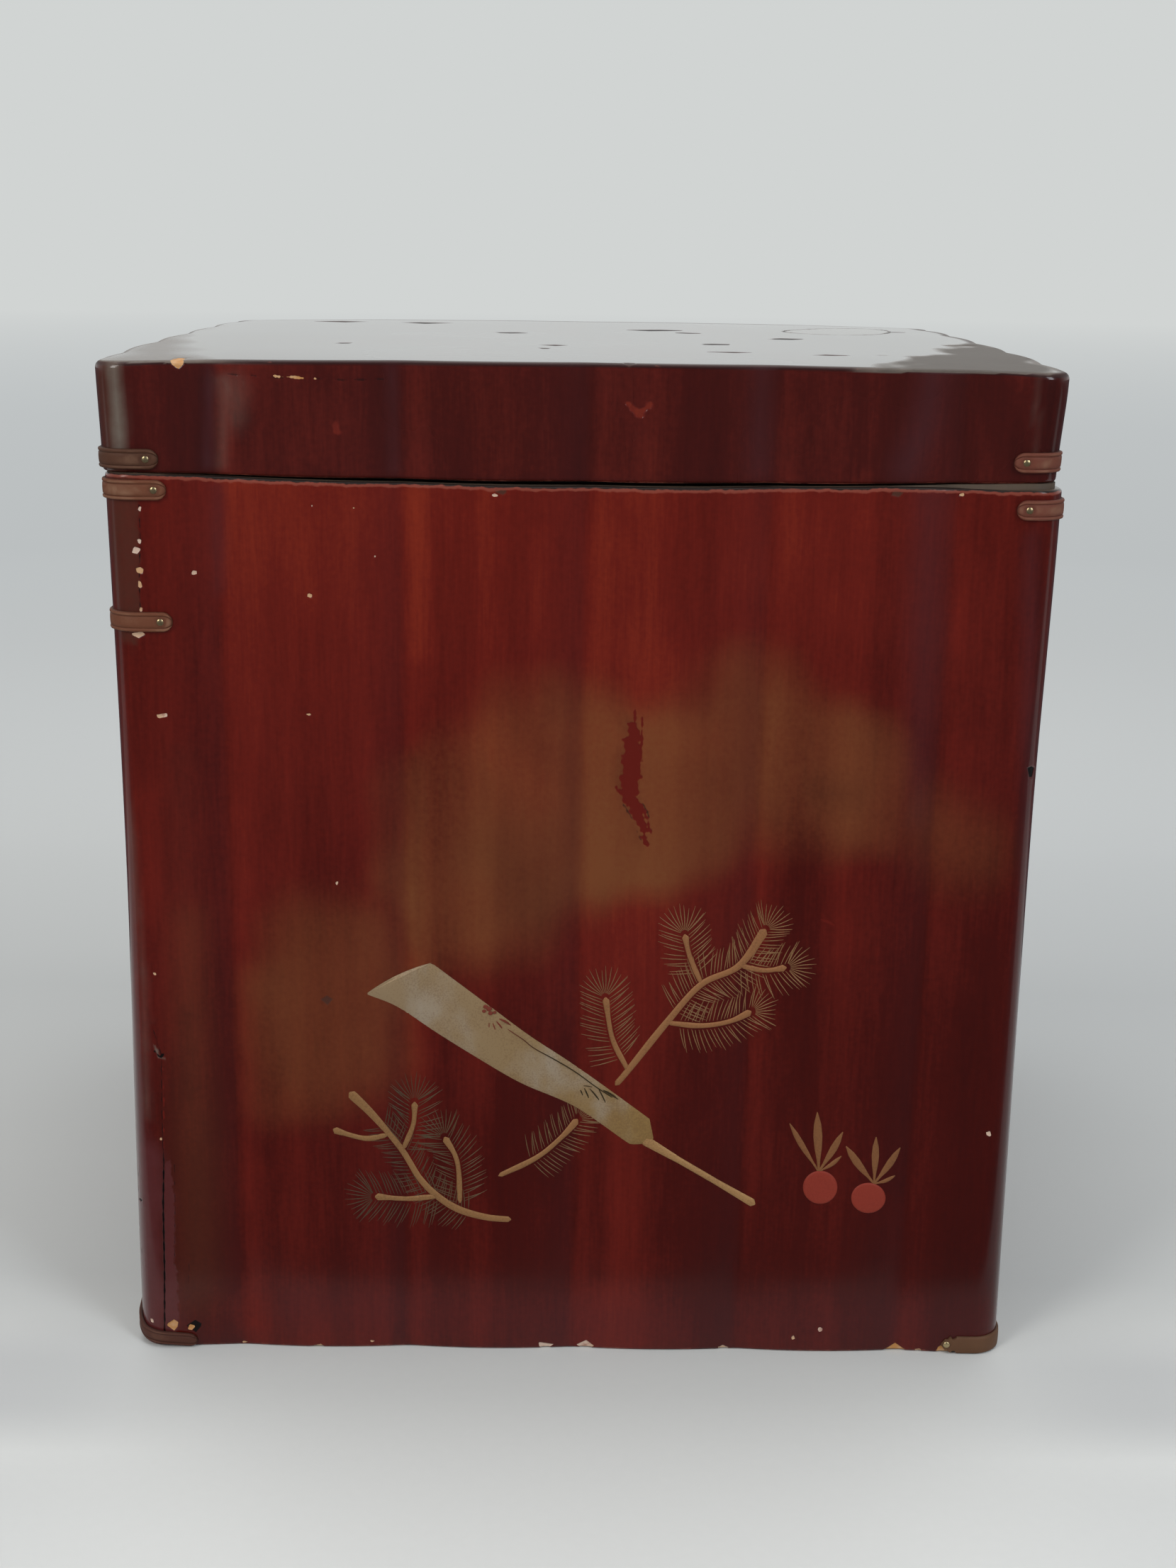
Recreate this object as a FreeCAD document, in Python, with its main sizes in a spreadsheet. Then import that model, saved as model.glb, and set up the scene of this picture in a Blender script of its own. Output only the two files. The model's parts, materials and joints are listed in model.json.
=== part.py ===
"""Fluted lacquer sewing box: a square body, a lift-off lid and a lift-out tray.

Units are millimetres. +Z is up and the front of the box faces -Y. The origin is the
middle of the footprint, on the surface that the box stands on.

The walls are thin boards, mitred at the corners and planed outside into shallow convex
flutes that meet in grooves. A thin lacquered covering goes round them. Four boards inside
the rim stand up as a lip that locates the lid. Short leather straps, each held by two
brass nails, bind the corners.
"""
import FreeCAD
import Part
import Sketcher

import math
import os

SIZES = {
    # Body
    "box_width": 301.5,
    "body_height": 302.9,
    "corner_radius": 9.5,
    "end_flute": 36.75,
    "flute_depth": 3.0,
    "skin_thickness": 1.6,
    "skin_foot_gap": 0.5,
    "wall_thickness": 7.8,
    "bottom_thickness": 8.0,
    "rim_hollow": 2.5,
    "rim_hollow_start": 11.0,
    # Lip that locates the lid, and the strips that carry the tray
    "lip_thickness": 3.0,
    "lip_rise": 12.0,
    "lip_drop": 39.0,
    "bearer_height": 6.0,
    "bearer_shelf": 6.0,
    # Lid
    "lid_inset": 0.95,
    "lid_height": 35.6,
    "lid_belly": 1.3,
    "lid_top_thickness": 6.0,
    "lid_shift": 1.2,
    "lid_play": 1.5,
    # Tray
    "tray_play": 1.2,
    "tray_height": 46.0,
    "tray_wall": 5.0,
    "tray_bottom": 4.0,
    "divider_thickness": 4.0,
    "divider_drop": 8.0,
    "divider_back": 22.0,
    "cross_spacing": 92.0,
    "notch_width": 38.0,
    "notch_depth": 15.0,
    # Corner straps and their nails
    "strap_width": 6.4,
    "strap_thickness": 1.1,
    "strap_glue": 0.03,
    "left_strap_leg": 20.6,
    "right_strap_leg": 15.4,
    "strap_tip_radius": 2.6,
    "left_rim_strap_drop": 1.9,
    "right_rim_strap_drop": 4.9,
    "middle_strap_drop": 43.6,
    "foot_strap_rise": 1.0,
    "loose_strap_rise": 5.0,
    "left_lid_strap_rise": 1.1,
    "right_lid_strap_rise": 3.3,
    "nail_inset": 3.9,
    "nail_head_radius": 1.2,
    "nail_head_height": 0.7,
    "nail_shank_radius": 0.5,
    "nail_length": 5.2,
    "nail_point": 1.6,
    "cut_overrun": 2.0,
}

QUARTER = 90
SIDES = ("front", "right", "back", "left")
CORNERS = ("front_right", "back_right", "back_left", "front_left")

HALF = "(Sizes.box_width / 2)"
LID_HALF = f"({HALF} - Sizes.lid_inset)"
PITCH = f"(({HALF} - Sizes.end_flute) / 2)"
FLUTE_RADIUS = f"((({PITCH} / 2)^2 + Sizes.flute_depth^2) / (2 * Sizes.flute_depth))"
WALL_INNER = f"({HALF} - Sizes.skin_thickness - Sizes.wall_thickness)"
LIP_INNER = f"({WALL_INNER} - Sizes.lip_thickness)"
LID_INNER = f"({WALL_INNER} + Sizes.lid_play)"
LIP_FOOT = "(Sizes.body_height - Sizes.lip_drop)"
TRAY_HALF = f"({LIP_INNER} - Sizes.tray_play)"
TRAY_ROOM = f"({TRAY_HALF} - Sizes.tray_wall)"
TRAY_FLOOR = f"({LIP_FOOT} + Sizes.tray_bottom)"
LID_FOOT = "(Sizes.body_height - Sizes.lid_belly)"
LID_TOP = "(Sizes.body_height + Sizes.lid_height)"
LID_SIDE = "(Sizes.lid_height + Sizes.lid_belly)"
LID_BOARD_HEIGHT = f"({LID_SIDE} - Sizes.skin_thickness - Sizes.lid_top_thickness)"

doc = FreeCAD.newDocument("sewing_box")
sheet = doc.addObject("Spreadsheet::Sheet", "Sizes")
for row, (alias, value) in enumerate(SIZES.items(), start=1):
    sheet.set(f"A{row}", alias)
    sheet.set(f"B{row}", str(value))
    sheet.setAlias(f"B{row}", alias)
doc.recompute()

nodes = []


def number(expression):
    """Value of an expression in the sheet's sizes."""
    return float(sheet.evalExpression(expression))


def new_body(name, turn=0, x="0", y="0", z="0"):
    """An empty body, turned about +Z by a number of quarters and put at a place."""
    body = doc.addObject("PartDesign::Body", name)
    body.Label = name
    rotation = FreeCAD.Rotation(FreeCAD.Vector(0, 0, 1), turn * QUARTER)
    body.Placement = FreeCAD.Placement(FreeCAD.Vector(0, 0, 0), rotation)
    body.setExpression("Placement.Base.x", x)
    body.setExpression("Placement.Base.y", y)
    body.setExpression("Placement.Base.z", z)
    return body


def arc_middle(start, end, radius, side):
    """Middle point of an arc that bulges to the right of start-end for side 1."""
    chord = end.sub(start)
    middle = start.add(end).multiply(0.5)
    sagitta = radius - math.sqrt(radius ** 2 - (chord.Length / 2) ** 2)
    right = FreeCAD.Vector(chord.y, -chord.x, 0).normalize()
    return middle.add(right.multiply(side * sagitta))


def closed_sketch(body, name, plane, points, edges):
    """A closed outline whose corners and radii are bound to expressions.

    points are pairs of expressions. edges has one entry per point, for the edge that
    leaves it: None for a straight one, or a radius and the side to which it bulges.
    """
    sketch = body.newObject("Sketcher::SketchObject", name)
    base = [item for item in body.Origin.OriginFeatures if item.Role == plane][0]
    sketch.AttachmentSupport = (base, [""])
    sketch.MapMode = "FlatFace"
    places = [FreeCAD.Vector(number(x), number(y), 0) for x, y in points]
    count = len(places)
    ends = []
    for index, edge in enumerate(edges):
        start = places[index]
        end = places[(index + 1) % count]
        if edge is None:
            sketch.addGeometry(Part.LineSegment(start, end))
            ends.append((1, 2))
            continue
        radius, side = edge
        middle = arc_middle(start, end, number(radius), side)
        if side > 0:
            sketch.addGeometry(Part.Arc(start, middle, end))
            ends.append((1, 2))
        else:
            sketch.addGeometry(Part.Arc(end, middle, start))
            ends.append((2, 1))
    for index in range(count):
        after = (index + 1) % count
        joint = Sketcher.Constraint("Coincident", index, ends[index][1], after, ends[after][0])
        sketch.addConstraint(joint)
    for index, (x, y) in enumerate(points):
        for kind, expression in (("DistanceX", x), ("DistanceY", y)):
            if expression == "0":
                axis = -2 if kind == "DistanceX" else -1
                rule = Sketcher.Constraint("PointOnObject", index, ends[index][0], axis)
                sketch.addConstraint(rule)
                continue
            rule = Sketcher.Constraint(kind, -1, 1, index, ends[index][0], number(expression))
            spot = sketch.addConstraint(rule)
            sketch.setExpression(f"Constraints[{spot}]", expression)
        if edges[index] is not None:
            radius = edges[index][0]
            spot = sketch.addConstraint(Sketcher.Constraint("Radius", index, number(radius)))
            sketch.setExpression(f"Constraints[{spot}]", radius)
    return sketch


def pad(body, sketch, length, name="pad"):
    """Pad of a sketch, away from its plane, by an expression."""
    feature = body.newObject("PartDesign::Pad", name)
    feature.Profile = sketch
    feature.Length = number(length)
    feature.setExpression("Length", length)
    return feature


def four_sides(body, features):
    """Repeat features of one side on all four sides, as one solid."""
    pattern = body.newObject("PartDesign::PolarPattern", "four_sides")
    pattern.Originals = features
    axis = [item for item in body.Origin.OriginFeatures if item.Role == "Z_Axis"][0]
    pattern.Axis = (axis, [""])
    pattern.Angle = 4 * QUARTER
    pattern.Occurrences = 4
    body.Tip = pattern
    return pattern


def keep(item):
    """List an object as a sub-part."""
    nodes.append(item)
    return item


def fluted_path(half, inset):
    """Corners and edges of the fluted front face, from its left mitre to its right one."""
    radius = f"({FLUTE_RADIUS} - {inset})"
    rounding = f"(Sizes.corner_radius - {inset})"
    centre = f"({half} - Sizes.corner_radius)"
    diagonal = f"({centre} + {rounding} / sqrt(2))"
    groove = f"({half} - {FLUTE_RADIUS} + sqrt({radius}^2 - ({PITCH} / 2)^2))"
    points = [(f"-{diagonal}", f"-{diagonal}"), (f"-{centre}", f"-({centre} + {rounding})")]
    for along in (f"-2 * {PITCH}", f"-{PITCH}", "0", PITCH, f"2 * {PITCH}"):
        points.append((along, f"-{groove}"))
    points.append((centre, f"-({centre} + {rounding})"))
    points.append((diagonal, f"-{diagonal}"))
    edges = [(rounding, 1)] + [(radius, 1)] * 6 + [(rounding, 1)]
    return points, edges


def board_sketch(body, half, inner):
    """Section of a wall board: fluted outside, flat inside, mitred at both ends."""
    points, edges = fluted_path(half, "Sizes.skin_thickness")
    points = points + [(inner, f"-{inner}"), (f"-{inner}", f"-{inner}")]
    edges = edges + [None, None, None]
    return closed_sketch(body, "section", "XY_Plane", points, edges)


def skin_sketch(body, half):
    """Section of one side of the covering, which follows the flutes on both faces."""
    outer, outer_edges = fluted_path(half, "0")
    inner, inner_edges = fluted_path(half, "Sizes.skin_thickness")
    back = [(radius, -side) for radius, side in reversed(inner_edges)]
    points = outer + inner[::-1]
    edges = outer_edges + [None] + back + [None]
    return closed_sketch(body, "section", "XY_Plane", points, edges)


def plate_sketch(body, half, inset):
    """A quarter of a fluted plate: the front face's outline closed at the middle."""
    points, edges = fluted_path(half, inset)
    points = points + [("0", "0")]
    edges = edges + [None, None]
    return closed_sketch(body, "quarter_plate", "XY_Plane", points, edges)


def bow(end, rise):
    """Radius of the arc that rises by a given height at both ends of a face."""
    return f"(({end}^2 + {rise}^2) / (2 * {rise}))"


def cut_front(body, name, points, edges):
    """Cut an outline, drawn in front view, through the front side of a body."""
    sketch = closed_sketch(body, f"{name}_outline", "XZ_Plane", points, edges)
    solid = body.Tip
    doc.recompute()
    before = solid.Shape.Volume
    cut = body.newObject("PartDesign::Pocket", name)
    cut.Profile = sketch
    cut.Type = "ThroughAll"
    cut.Reversed = True
    doc.recompute()
    if not cut.Shape.Volume < before:
        raise RuntimeError(f"{body.Label}: {name} cuts nothing")
    return cut


def rim_hollow(body, height):
    """Shallow hollow in the top edge of a wall, between the two corners."""
    end = f"({HALF} - Sizes.rim_hollow_start)"
    clear = f"({height} + Sizes.cut_overrun)"
    points = [(f"-{end}", height), (end, height), (end, clear), (f"-{end}", clear)]
    edges = [(bow(end, "Sizes.rim_hollow"), 1), None, None, None]
    return cut_front(body, "rim_hollow", points, edges)


def lid_belly(body):
    """Lower edge of a lid wall, which sinks below its corners towards the middle."""
    end = f"({HALF} - Sizes.rim_hollow_start - Sizes.lid_play)"
    wide = f"({HALF} + Sizes.cut_overrun)"
    rise = "Sizes.lid_belly"
    points = [(f"-{wide}", "-Sizes.cut_overrun"), (wide, "-Sizes.cut_overrun"), (wide, rise)]
    points = points + [(end, rise), (f"-{end}", rise), (f"-{wide}", rise)]
    edges = [None, None, None, (bow(end, rise), -1), None, None]
    return cut_front(body, "lid_belly", points, edges)


def box(name, size, place):
    """A plain board or strip: its size and its lowest corner, as expressions."""
    board = doc.addObject("Part::Box", name)
    board.Label = name
    for side, expression in zip(("Length", "Width", "Height"), size):
        board.setExpression(side, expression)
    for axis, expression in zip("xyz", place):
        board.setExpression(f"Placement.Base.{axis}", expression)
    return keep(board)


def body_walls():
    """Four fluted wall boards, mitred together, with a hollow top edge."""
    for turn, side in enumerate(SIDES):
        body = new_body(f"{side}_board", turn)
        sketch = board_sketch(body, HALF, WALL_INNER)
        pad(body, sketch, "Sizes.body_height")
        rim_hollow(body, "Sizes.body_height")
        keep(body)


def body_bottom():
    """Bottom board, let in between the walls and flush with their feet."""
    width = f"2 * {WALL_INNER}"
    box("bottom_board", (width, width, "Sizes.bottom_thickness"),
        (f"-{WALL_INNER}", f"-{WALL_INNER}", "0"))


def body_covering():
    """Lacquered covering round the four walls."""
    body = new_body("body_covering", 0, "0", "0", "Sizes.skin_foot_gap")
    height = "(Sizes.body_height - Sizes.skin_foot_gap)"
    side = pad(body, skin_sketch(body, HALF), height)
    hollow = rim_hollow(body, height)
    four_sides(body, [side, hollow])
    keep(body)


def lip_boards():
    """Four mitred boards inside the rim, which stand up into the lid."""
    for turn, side in enumerate(SIDES):
        body = new_body(f"{side}_lip", turn, "0", "0", LIP_FOOT)
        points = [(f"-{WALL_INNER}", f"-{WALL_INNER}"), (WALL_INNER, f"-{WALL_INNER}")]
        points = points + [(LIP_INNER, f"-{LIP_INNER}"), (f"-{LIP_INNER}", f"-{LIP_INNER}")]
        sketch = closed_sketch(body, "section", "XY_Plane", points, [None] * 4)
        pad(body, sketch, "Sizes.lip_drop + Sizes.lip_rise")
        keep(body)


def tray_bearers():
    """Two strips under the lip at the left and the right, which carry the tray."""
    reach = "(Sizes.lip_thickness + Sizes.bearer_shelf)"
    low = f"{LIP_FOOT} - Sizes.bearer_height"
    size = (reach, f"2 * {WALL_INNER}", "Sizes.bearer_height")
    box("left_bearer", size, (f"-{WALL_INNER}", f"-{WALL_INNER}", low))
    box("right_bearer", size, (f"{WALL_INNER} - {reach}", f"-{WALL_INNER}", low))


def lid_boards():
    """Four thin fluted lid walls and the board on top of them."""
    for turn, side in enumerate(SIDES):
        body = new_body(f"lid_{side}_board", turn, "-Sizes.lid_shift", "0", LID_FOOT)
        sketch = board_sketch(body, LID_HALF, LID_INNER)
        pad(body, sketch, LID_BOARD_HEIGHT)
        lid_belly(body)
        keep(body)
    height = f"{LID_TOP} - Sizes.skin_thickness - Sizes.lid_top_thickness"
    body = new_body("lid_top_board", 0, "-Sizes.lid_shift", "0", height)
    quarter = plate_sketch(body, LID_HALF, "Sizes.skin_thickness")
    four_sides(body, [pad(body, quarter, "Sizes.lid_top_thickness")])
    keep(body)


def lid_covering():
    """Lacquered covering over the sides and the top of the lid."""
    body = new_body("lid_covering", 0, "-Sizes.lid_shift", "0", LID_FOOT)
    side = pad(body, skin_sketch(body, LID_HALF), LID_SIDE, "side")
    belly = lid_belly(body)
    height = f"{LID_SIDE} - Sizes.skin_thickness"
    quarter = plate_sketch(body, LID_HALF, "0")
    place = FreeCAD.Vector(0, 0, number(height))
    quarter.AttachmentOffset = FreeCAD.Placement(place, FreeCAD.Rotation())
    quarter.setExpression("AttachmentOffset.Base.z", height)
    top = pad(body, quarter, "Sizes.skin_thickness", "top")
    four_sides(body, [side, belly, top])
    keep(body)


def leg_length(corner):
    """Length of the two legs of the straps on one corner."""
    side = corner.split("_")[1]
    return f"Sizes.{side}_strap_leg"


def strap(name, corner, half, height, shift="0"):
    """A short strap bent round one upright corner, with rounded ends."""
    body = new_body(name, CORNERS.index(corner), shift, "0", height)
    leg = f"({half} - {leg_length(corner)})"
    centre = f"({half} - Sizes.corner_radius)"
    middle = f"(2.5 * {PITCH})"
    outside = "(Sizes.strap_glue + Sizes.strap_thickness)"
    points = []
    edges = []
    for layer, side in (("Sizes.strap_glue", 1), (outside, -1)):
        radius = f"({FLUTE_RADIUS} + {layer})"
        rounding = f"(Sizes.corner_radius + {layer})"
        face = f"({half} + {layer})"
        seat = f"({half} - {FLUTE_RADIUS} + sqrt({radius}^2 - ({leg} - {middle})^2))"
        run = [(leg, f"-{seat}"), (centre, f"-{face}"), (face, f"-{centre}"), (seat, f"-{leg}")]
        bends = [(radius, side), (rounding, side), (radius, side)]
        points = points + (run if side == 1 else run[::-1])
        edges = edges + bends + [None]
    sketch = closed_sketch(body, "section", "XY_Plane", points, edges)
    strip = pad(body, sketch, "Sizes.strap_width")
    doc.recompute()
    ends = []
    for index, edge in enumerate(strip.Shape.Edges, start=1):
        if edge.Length < number("1.2 * Sizes.strap_thickness"):
            ends.append(f"Edge{index}")
    tips = body.newObject("PartDesign::Fillet", "rounded_ends")
    tips.Base = (strip, ends)
    tips.Radius = number("Sizes.strap_tip_radius")
    tips.setExpression("Radius", "Sizes.strap_tip_radius")
    keep(body)


def nail_body():
    """A domed brass nail, its shank along -Z and the seat of its head at zero."""
    body = new_body("nail")
    tip = "-Sizes.nail_length"
    shank = "Sizes.nail_shank_radius"
    head = "Sizes.nail_head_radius"
    rise = "Sizes.nail_head_height"
    dome = f"(({head}^2 + {rise}^2) / (2 * {rise}))"
    points = [("0", tip), (shank, "-(Sizes.nail_length - Sizes.nail_point)"), (shank, "0")]
    points = points + [(head, "0"), ("0", rise)]
    edges = [None, None, None, (dome, 1), None]
    sketch = closed_sketch(body, "half_section", "XZ_Plane", points, edges)
    turned = body.newObject("PartDesign::Revolution", "turned")
    turned.Profile = sketch
    turned.ReferenceAxis = (sketch, ["V_Axis"])
    turned.Angle = 4 * QUARTER
    return body


def nail_group(name, nail, places):
    """Nails set square to the faces, each at the end of one leg of a strap."""
    links = []
    for index, (side, sign, leg, half, height, shift) in enumerate(places):
        link = doc.addObject("App::Link", f"{name}_{index}")
        link.LinkedObject = nail
        along = f"({half} - {leg} + Sizes.nail_inset)"
        radius = f"({FLUTE_RADIUS} + Sizes.strap_glue + Sizes.strap_thickness)"
        middle = f"(2.5 * {PITCH})"
        out = f"({half} - {FLUTE_RADIUS} + sqrt({radius}^2 - ({along} - {middle})^2))"
        face = SIDES.index(side) * QUARTER
        lean = FreeCAD.Rotation(FreeCAD.Vector(1, 0, 0), QUARTER)
        turn = FreeCAD.Rotation(FreeCAD.Vector(0, 0, 1), face)
        link.Placement = FreeCAD.Placement(FreeCAD.Vector(0, 0, 0), turn.multiply(lean))
        cosine = round(math.cos(math.radians(face)))
        sine = round(math.sin(math.radians(face)))
        link.setExpression("Placement.Base.x",
                           f"{cosine * sign} * {along} + {sine} * {out} + {shift}")
        link.setExpression("Placement.Base.y", f"{sine * sign} * {along} - {cosine} * {out}")
        link.setExpression("Placement.Base.z", f"{height} + Sizes.strap_width / 2")
        links.append(link)
    group = doc.addObject("Part::Compound", name)
    group.Label = name
    group.Links = links
    return keep(group)


def both_legs(corner, half, height, shift="0"):
    """Nail places at the two ends of the strap on one corner."""
    here = CORNERS.index(corner)
    after = SIDES[(here + 1) % 4]
    leg = leg_length(corner)
    return [(SIDES[here], 1, leg, half, height, shift), (after, -1, leg, half, height, shift)]


def straps_and_nails():
    """Straps on the corners of the body and the lid, and the nails that hold them."""
    body_places = []
    lid_places = []
    for corner in CORNERS:
        side = corner.split("_")[1]
        rim = f"(Sizes.body_height - Sizes.{side}_rim_strap_drop - Sizes.strap_width)"
        brow = f"(Sizes.body_height + Sizes.{side}_lid_strap_rise)"
        loose = corner == "front_left"
        foot = "Sizes.loose_strap_rise" if loose else "Sizes.foot_strap_rise"
        strap(f"{corner}_rim_strap", corner, HALF, rim)
        strap(f"{corner}_foot_strap", corner, HALF, foot)
        strap(f"{corner}_lid_strap", corner, LID_HALF, brow, "-Sizes.lid_shift")
        body_places = body_places + both_legs(corner, HALF, rim)
        lid_places = lid_places + both_legs(corner, LID_HALF, brow, "-Sizes.lid_shift")
        held = both_legs(corner, HALF, foot)
        if loose:
            held = held[:1]
        body_places = body_places + held
    middle = "(Sizes.body_height - Sizes.middle_strap_drop - Sizes.strap_width)"
    strap("front_left_middle_strap", "front_left", HALF, middle)
    body_places = body_places + both_legs("front_left", HALF, middle)
    nail = nail_body()
    nail_group("body_nails", nail, body_places)
    nail_group("lid_nails", nail, lid_places)


def tray():
    """Lift-out tray: a bottom, four walls, two of them with finger notches, and dividers."""
    box("tray_bottom", (f"2 * {TRAY_HALF}", f"2 * {TRAY_HALF}", "Sizes.tray_bottom"),
        (f"-{TRAY_HALF}", f"-{TRAY_HALF}", LIP_FOOT))
    height = "(Sizes.tray_height - Sizes.tray_bottom)"
    size = (f"2 * {TRAY_HALF}", "Sizes.tray_wall", height)
    box("tray_front", size, (f"-{TRAY_HALF}", f"-{TRAY_HALF}", TRAY_FLOOR))
    box("tray_back", size, (f"-{TRAY_HALF}", TRAY_ROOM, TRAY_FLOOR))
    notch = "(Sizes.notch_width / 2)"
    bend = f"(({notch}^2 + Sizes.notch_depth^2) / (2 * Sizes.notch_depth))"
    points = [(f"-{TRAY_ROOM}", "0"), (TRAY_ROOM, "0"), (TRAY_ROOM, height), (notch, height)]
    points = points + [(f"-{notch}", height), (f"-{TRAY_ROOM}", height)]
    edges = [None, None, None, (bend, -1), None, None]
    for name, place in (("tray_left", f"-{TRAY_HALF}"), ("tray_right", TRAY_ROOM)):
        body = new_body(name, 0, place, "0", TRAY_FLOOR)
        sketch = closed_sketch(body, "side_view", "YZ_Plane", points, edges)
        pad(body, sketch, "Sizes.tray_wall")
        keep(body)
    low = f"({height} - Sizes.divider_drop)"
    long_face = "(Sizes.divider_back - Sizes.divider_thickness / 2)"
    box("tray_long_divider", (f"2 * {TRAY_ROOM}", "Sizes.divider_thickness", low),
        (f"-{TRAY_ROOM}", long_face, TRAY_FLOOR))
    depth = f"{long_face} + {TRAY_ROOM}"
    for name, sign in (("tray_left_divider", "-"), ("tray_right_divider", "")):
        middle = f"{sign}Sizes.cross_spacing / 2 - Sizes.divider_thickness / 2"
        box(name, ("Sizes.divider_thickness", depth, low), (middle, f"-{TRAY_ROOM}", TRAY_FLOOR))


body_walls()
body_bottom()
body_covering()
lip_boards()
tray_bearers()
lid_boards()
lid_covering()
straps_and_nails()
tray()
doc.recompute()

for item in doc.Objects:
    if "Invalid" in item.State or "Error" in item.State:
        raise RuntimeError(f"{item.Label} failed: {item.State}")
for node in nodes:
    if node.Shape.isNull() or not node.Shape.isValid():
        raise RuntimeError(f"{node.Label} has no valid shape")

os.makedirs("parts", exist_ok=True)
for node in nodes:
    node.Shape.exportStep(f"parts/{node.Label}.step")
print(f"{len(nodes)} sub-parts")
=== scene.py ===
"""Looks of a lacquered sewing box: fluted red lacquer, leather straps, brass nails, raised ornament.

Sizes are millimetres until a mesh is made. The box stands on z = 0 and its front faces -Y.
"""

import json
import logging
import math
import random
from collections.abc import Callable, Mapping, Sequence
from dataclasses import dataclass, field
from enum import Enum
from typing import Any

import bmesh
import bpy
import numpy as np
from mathutils import Matrix, Vector

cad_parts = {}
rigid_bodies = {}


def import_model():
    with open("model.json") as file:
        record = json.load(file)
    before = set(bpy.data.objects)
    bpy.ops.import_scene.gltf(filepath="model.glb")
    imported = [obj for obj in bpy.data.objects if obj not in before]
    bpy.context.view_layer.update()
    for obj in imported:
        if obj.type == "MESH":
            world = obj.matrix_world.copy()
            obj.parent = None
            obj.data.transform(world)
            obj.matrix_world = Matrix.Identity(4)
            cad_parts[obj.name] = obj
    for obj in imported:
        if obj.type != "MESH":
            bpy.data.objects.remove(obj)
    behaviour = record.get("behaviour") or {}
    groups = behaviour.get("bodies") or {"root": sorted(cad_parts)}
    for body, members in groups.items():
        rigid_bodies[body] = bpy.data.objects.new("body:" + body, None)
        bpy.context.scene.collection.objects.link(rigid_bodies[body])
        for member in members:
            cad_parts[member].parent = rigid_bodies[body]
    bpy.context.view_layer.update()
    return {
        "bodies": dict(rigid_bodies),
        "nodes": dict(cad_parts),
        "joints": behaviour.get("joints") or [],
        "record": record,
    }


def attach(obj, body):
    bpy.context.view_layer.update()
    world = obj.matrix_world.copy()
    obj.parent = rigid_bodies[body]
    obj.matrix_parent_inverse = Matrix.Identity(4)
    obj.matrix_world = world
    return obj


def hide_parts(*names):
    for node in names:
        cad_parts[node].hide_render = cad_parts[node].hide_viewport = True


LOG = logging.getLogger("sewing_box")
MM = 0.001
Array = np.ndarray
Colour = tuple[float, float, float, float]
Stops = tuple[tuple[float, Colour], ...]
Pixel = tuple[float, float]


def ink(red: float, green: float, blue: float) -> Colour:
    """Gives the linear colour of three sRGB parts from 0 to 255."""
    parts = [part / 255 for part in (red, green, blue)]
    linear = [p / 12.92 if p <= 0.04045 else ((p + 0.055) / 1.055) ** 2.4 for p in parts]
    return (linear[0], linear[1], linear[2], 1.0)


def inks(*rows: tuple[float, float, float, float]) -> Stops:
    """Gives a colour ramp's stops from rows of a place and three sRGB parts."""
    return tuple((place, ink(*parts)) for place, *parts in rows)


def ease(value: Array | float, low: float, high: float) -> Array:
    """Rises smoothly from 0 at low to 1 at high."""
    share = np.clip((np.asarray(value, float) - low) / (high - low), 0.0, 1.0)
    return share * share * (3 - 2 * share)


def operator(operation: str, flipped: bool = False) -> Callable[["Expr", "Expr | float"], "Expr"]:
    """Gives a method that joins two values in a Math node; flipped puts the other one first."""

    def method(self: "Expr", other: "Expr | float") -> "Expr":
        """Makes the node."""
        pair = (other, self) if flipped else (self, other)
        return self.graph.math(operation, *pair)

    return method


class Expr:
    """A socket that gives a value, for Python's operators to work on."""

    __add__ = operator("ADD")
    __radd__ = operator("ADD", flipped=True)
    __sub__ = operator("SUBTRACT")
    __rsub__ = operator("SUBTRACT", flipped=True)
    __mul__ = operator("MULTIPLY")
    __rmul__ = operator("MULTIPLY", flipped=True)
    __truediv__ = operator("DIVIDE")
    __rtruediv__ = operator("DIVIDE", flipped=True)
    top = operator("MAXIMUM")

    def __init__(self, graph: "Graph", socket: bpy.types.NodeSocket | None) -> None:
        """Keeps the socket and the graph that it is in."""
        self.graph = graph
        self.socket = socket

    def __abs__(self) -> "Expr":
        """Drops the value's sign."""
        return self.graph.math("ABSOLUTE", self)

    def clamp(self) -> "Expr":
        """Keeps the value between 0 and 1."""
        return self.graph.node("ShaderNodeClamp", sockets={"Value": self})

    def smooth(self, low: float, high: float) -> "Expr":
        """Rises smoothly from 0 at low to 1 at high."""
        sockets = {"Value": self, "From Min": low, "From Max": high}
        return self.graph.node("ShaderNodeMapRange", {"interpolation_type": "SMOOTHSTEP"}, sockets)


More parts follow.
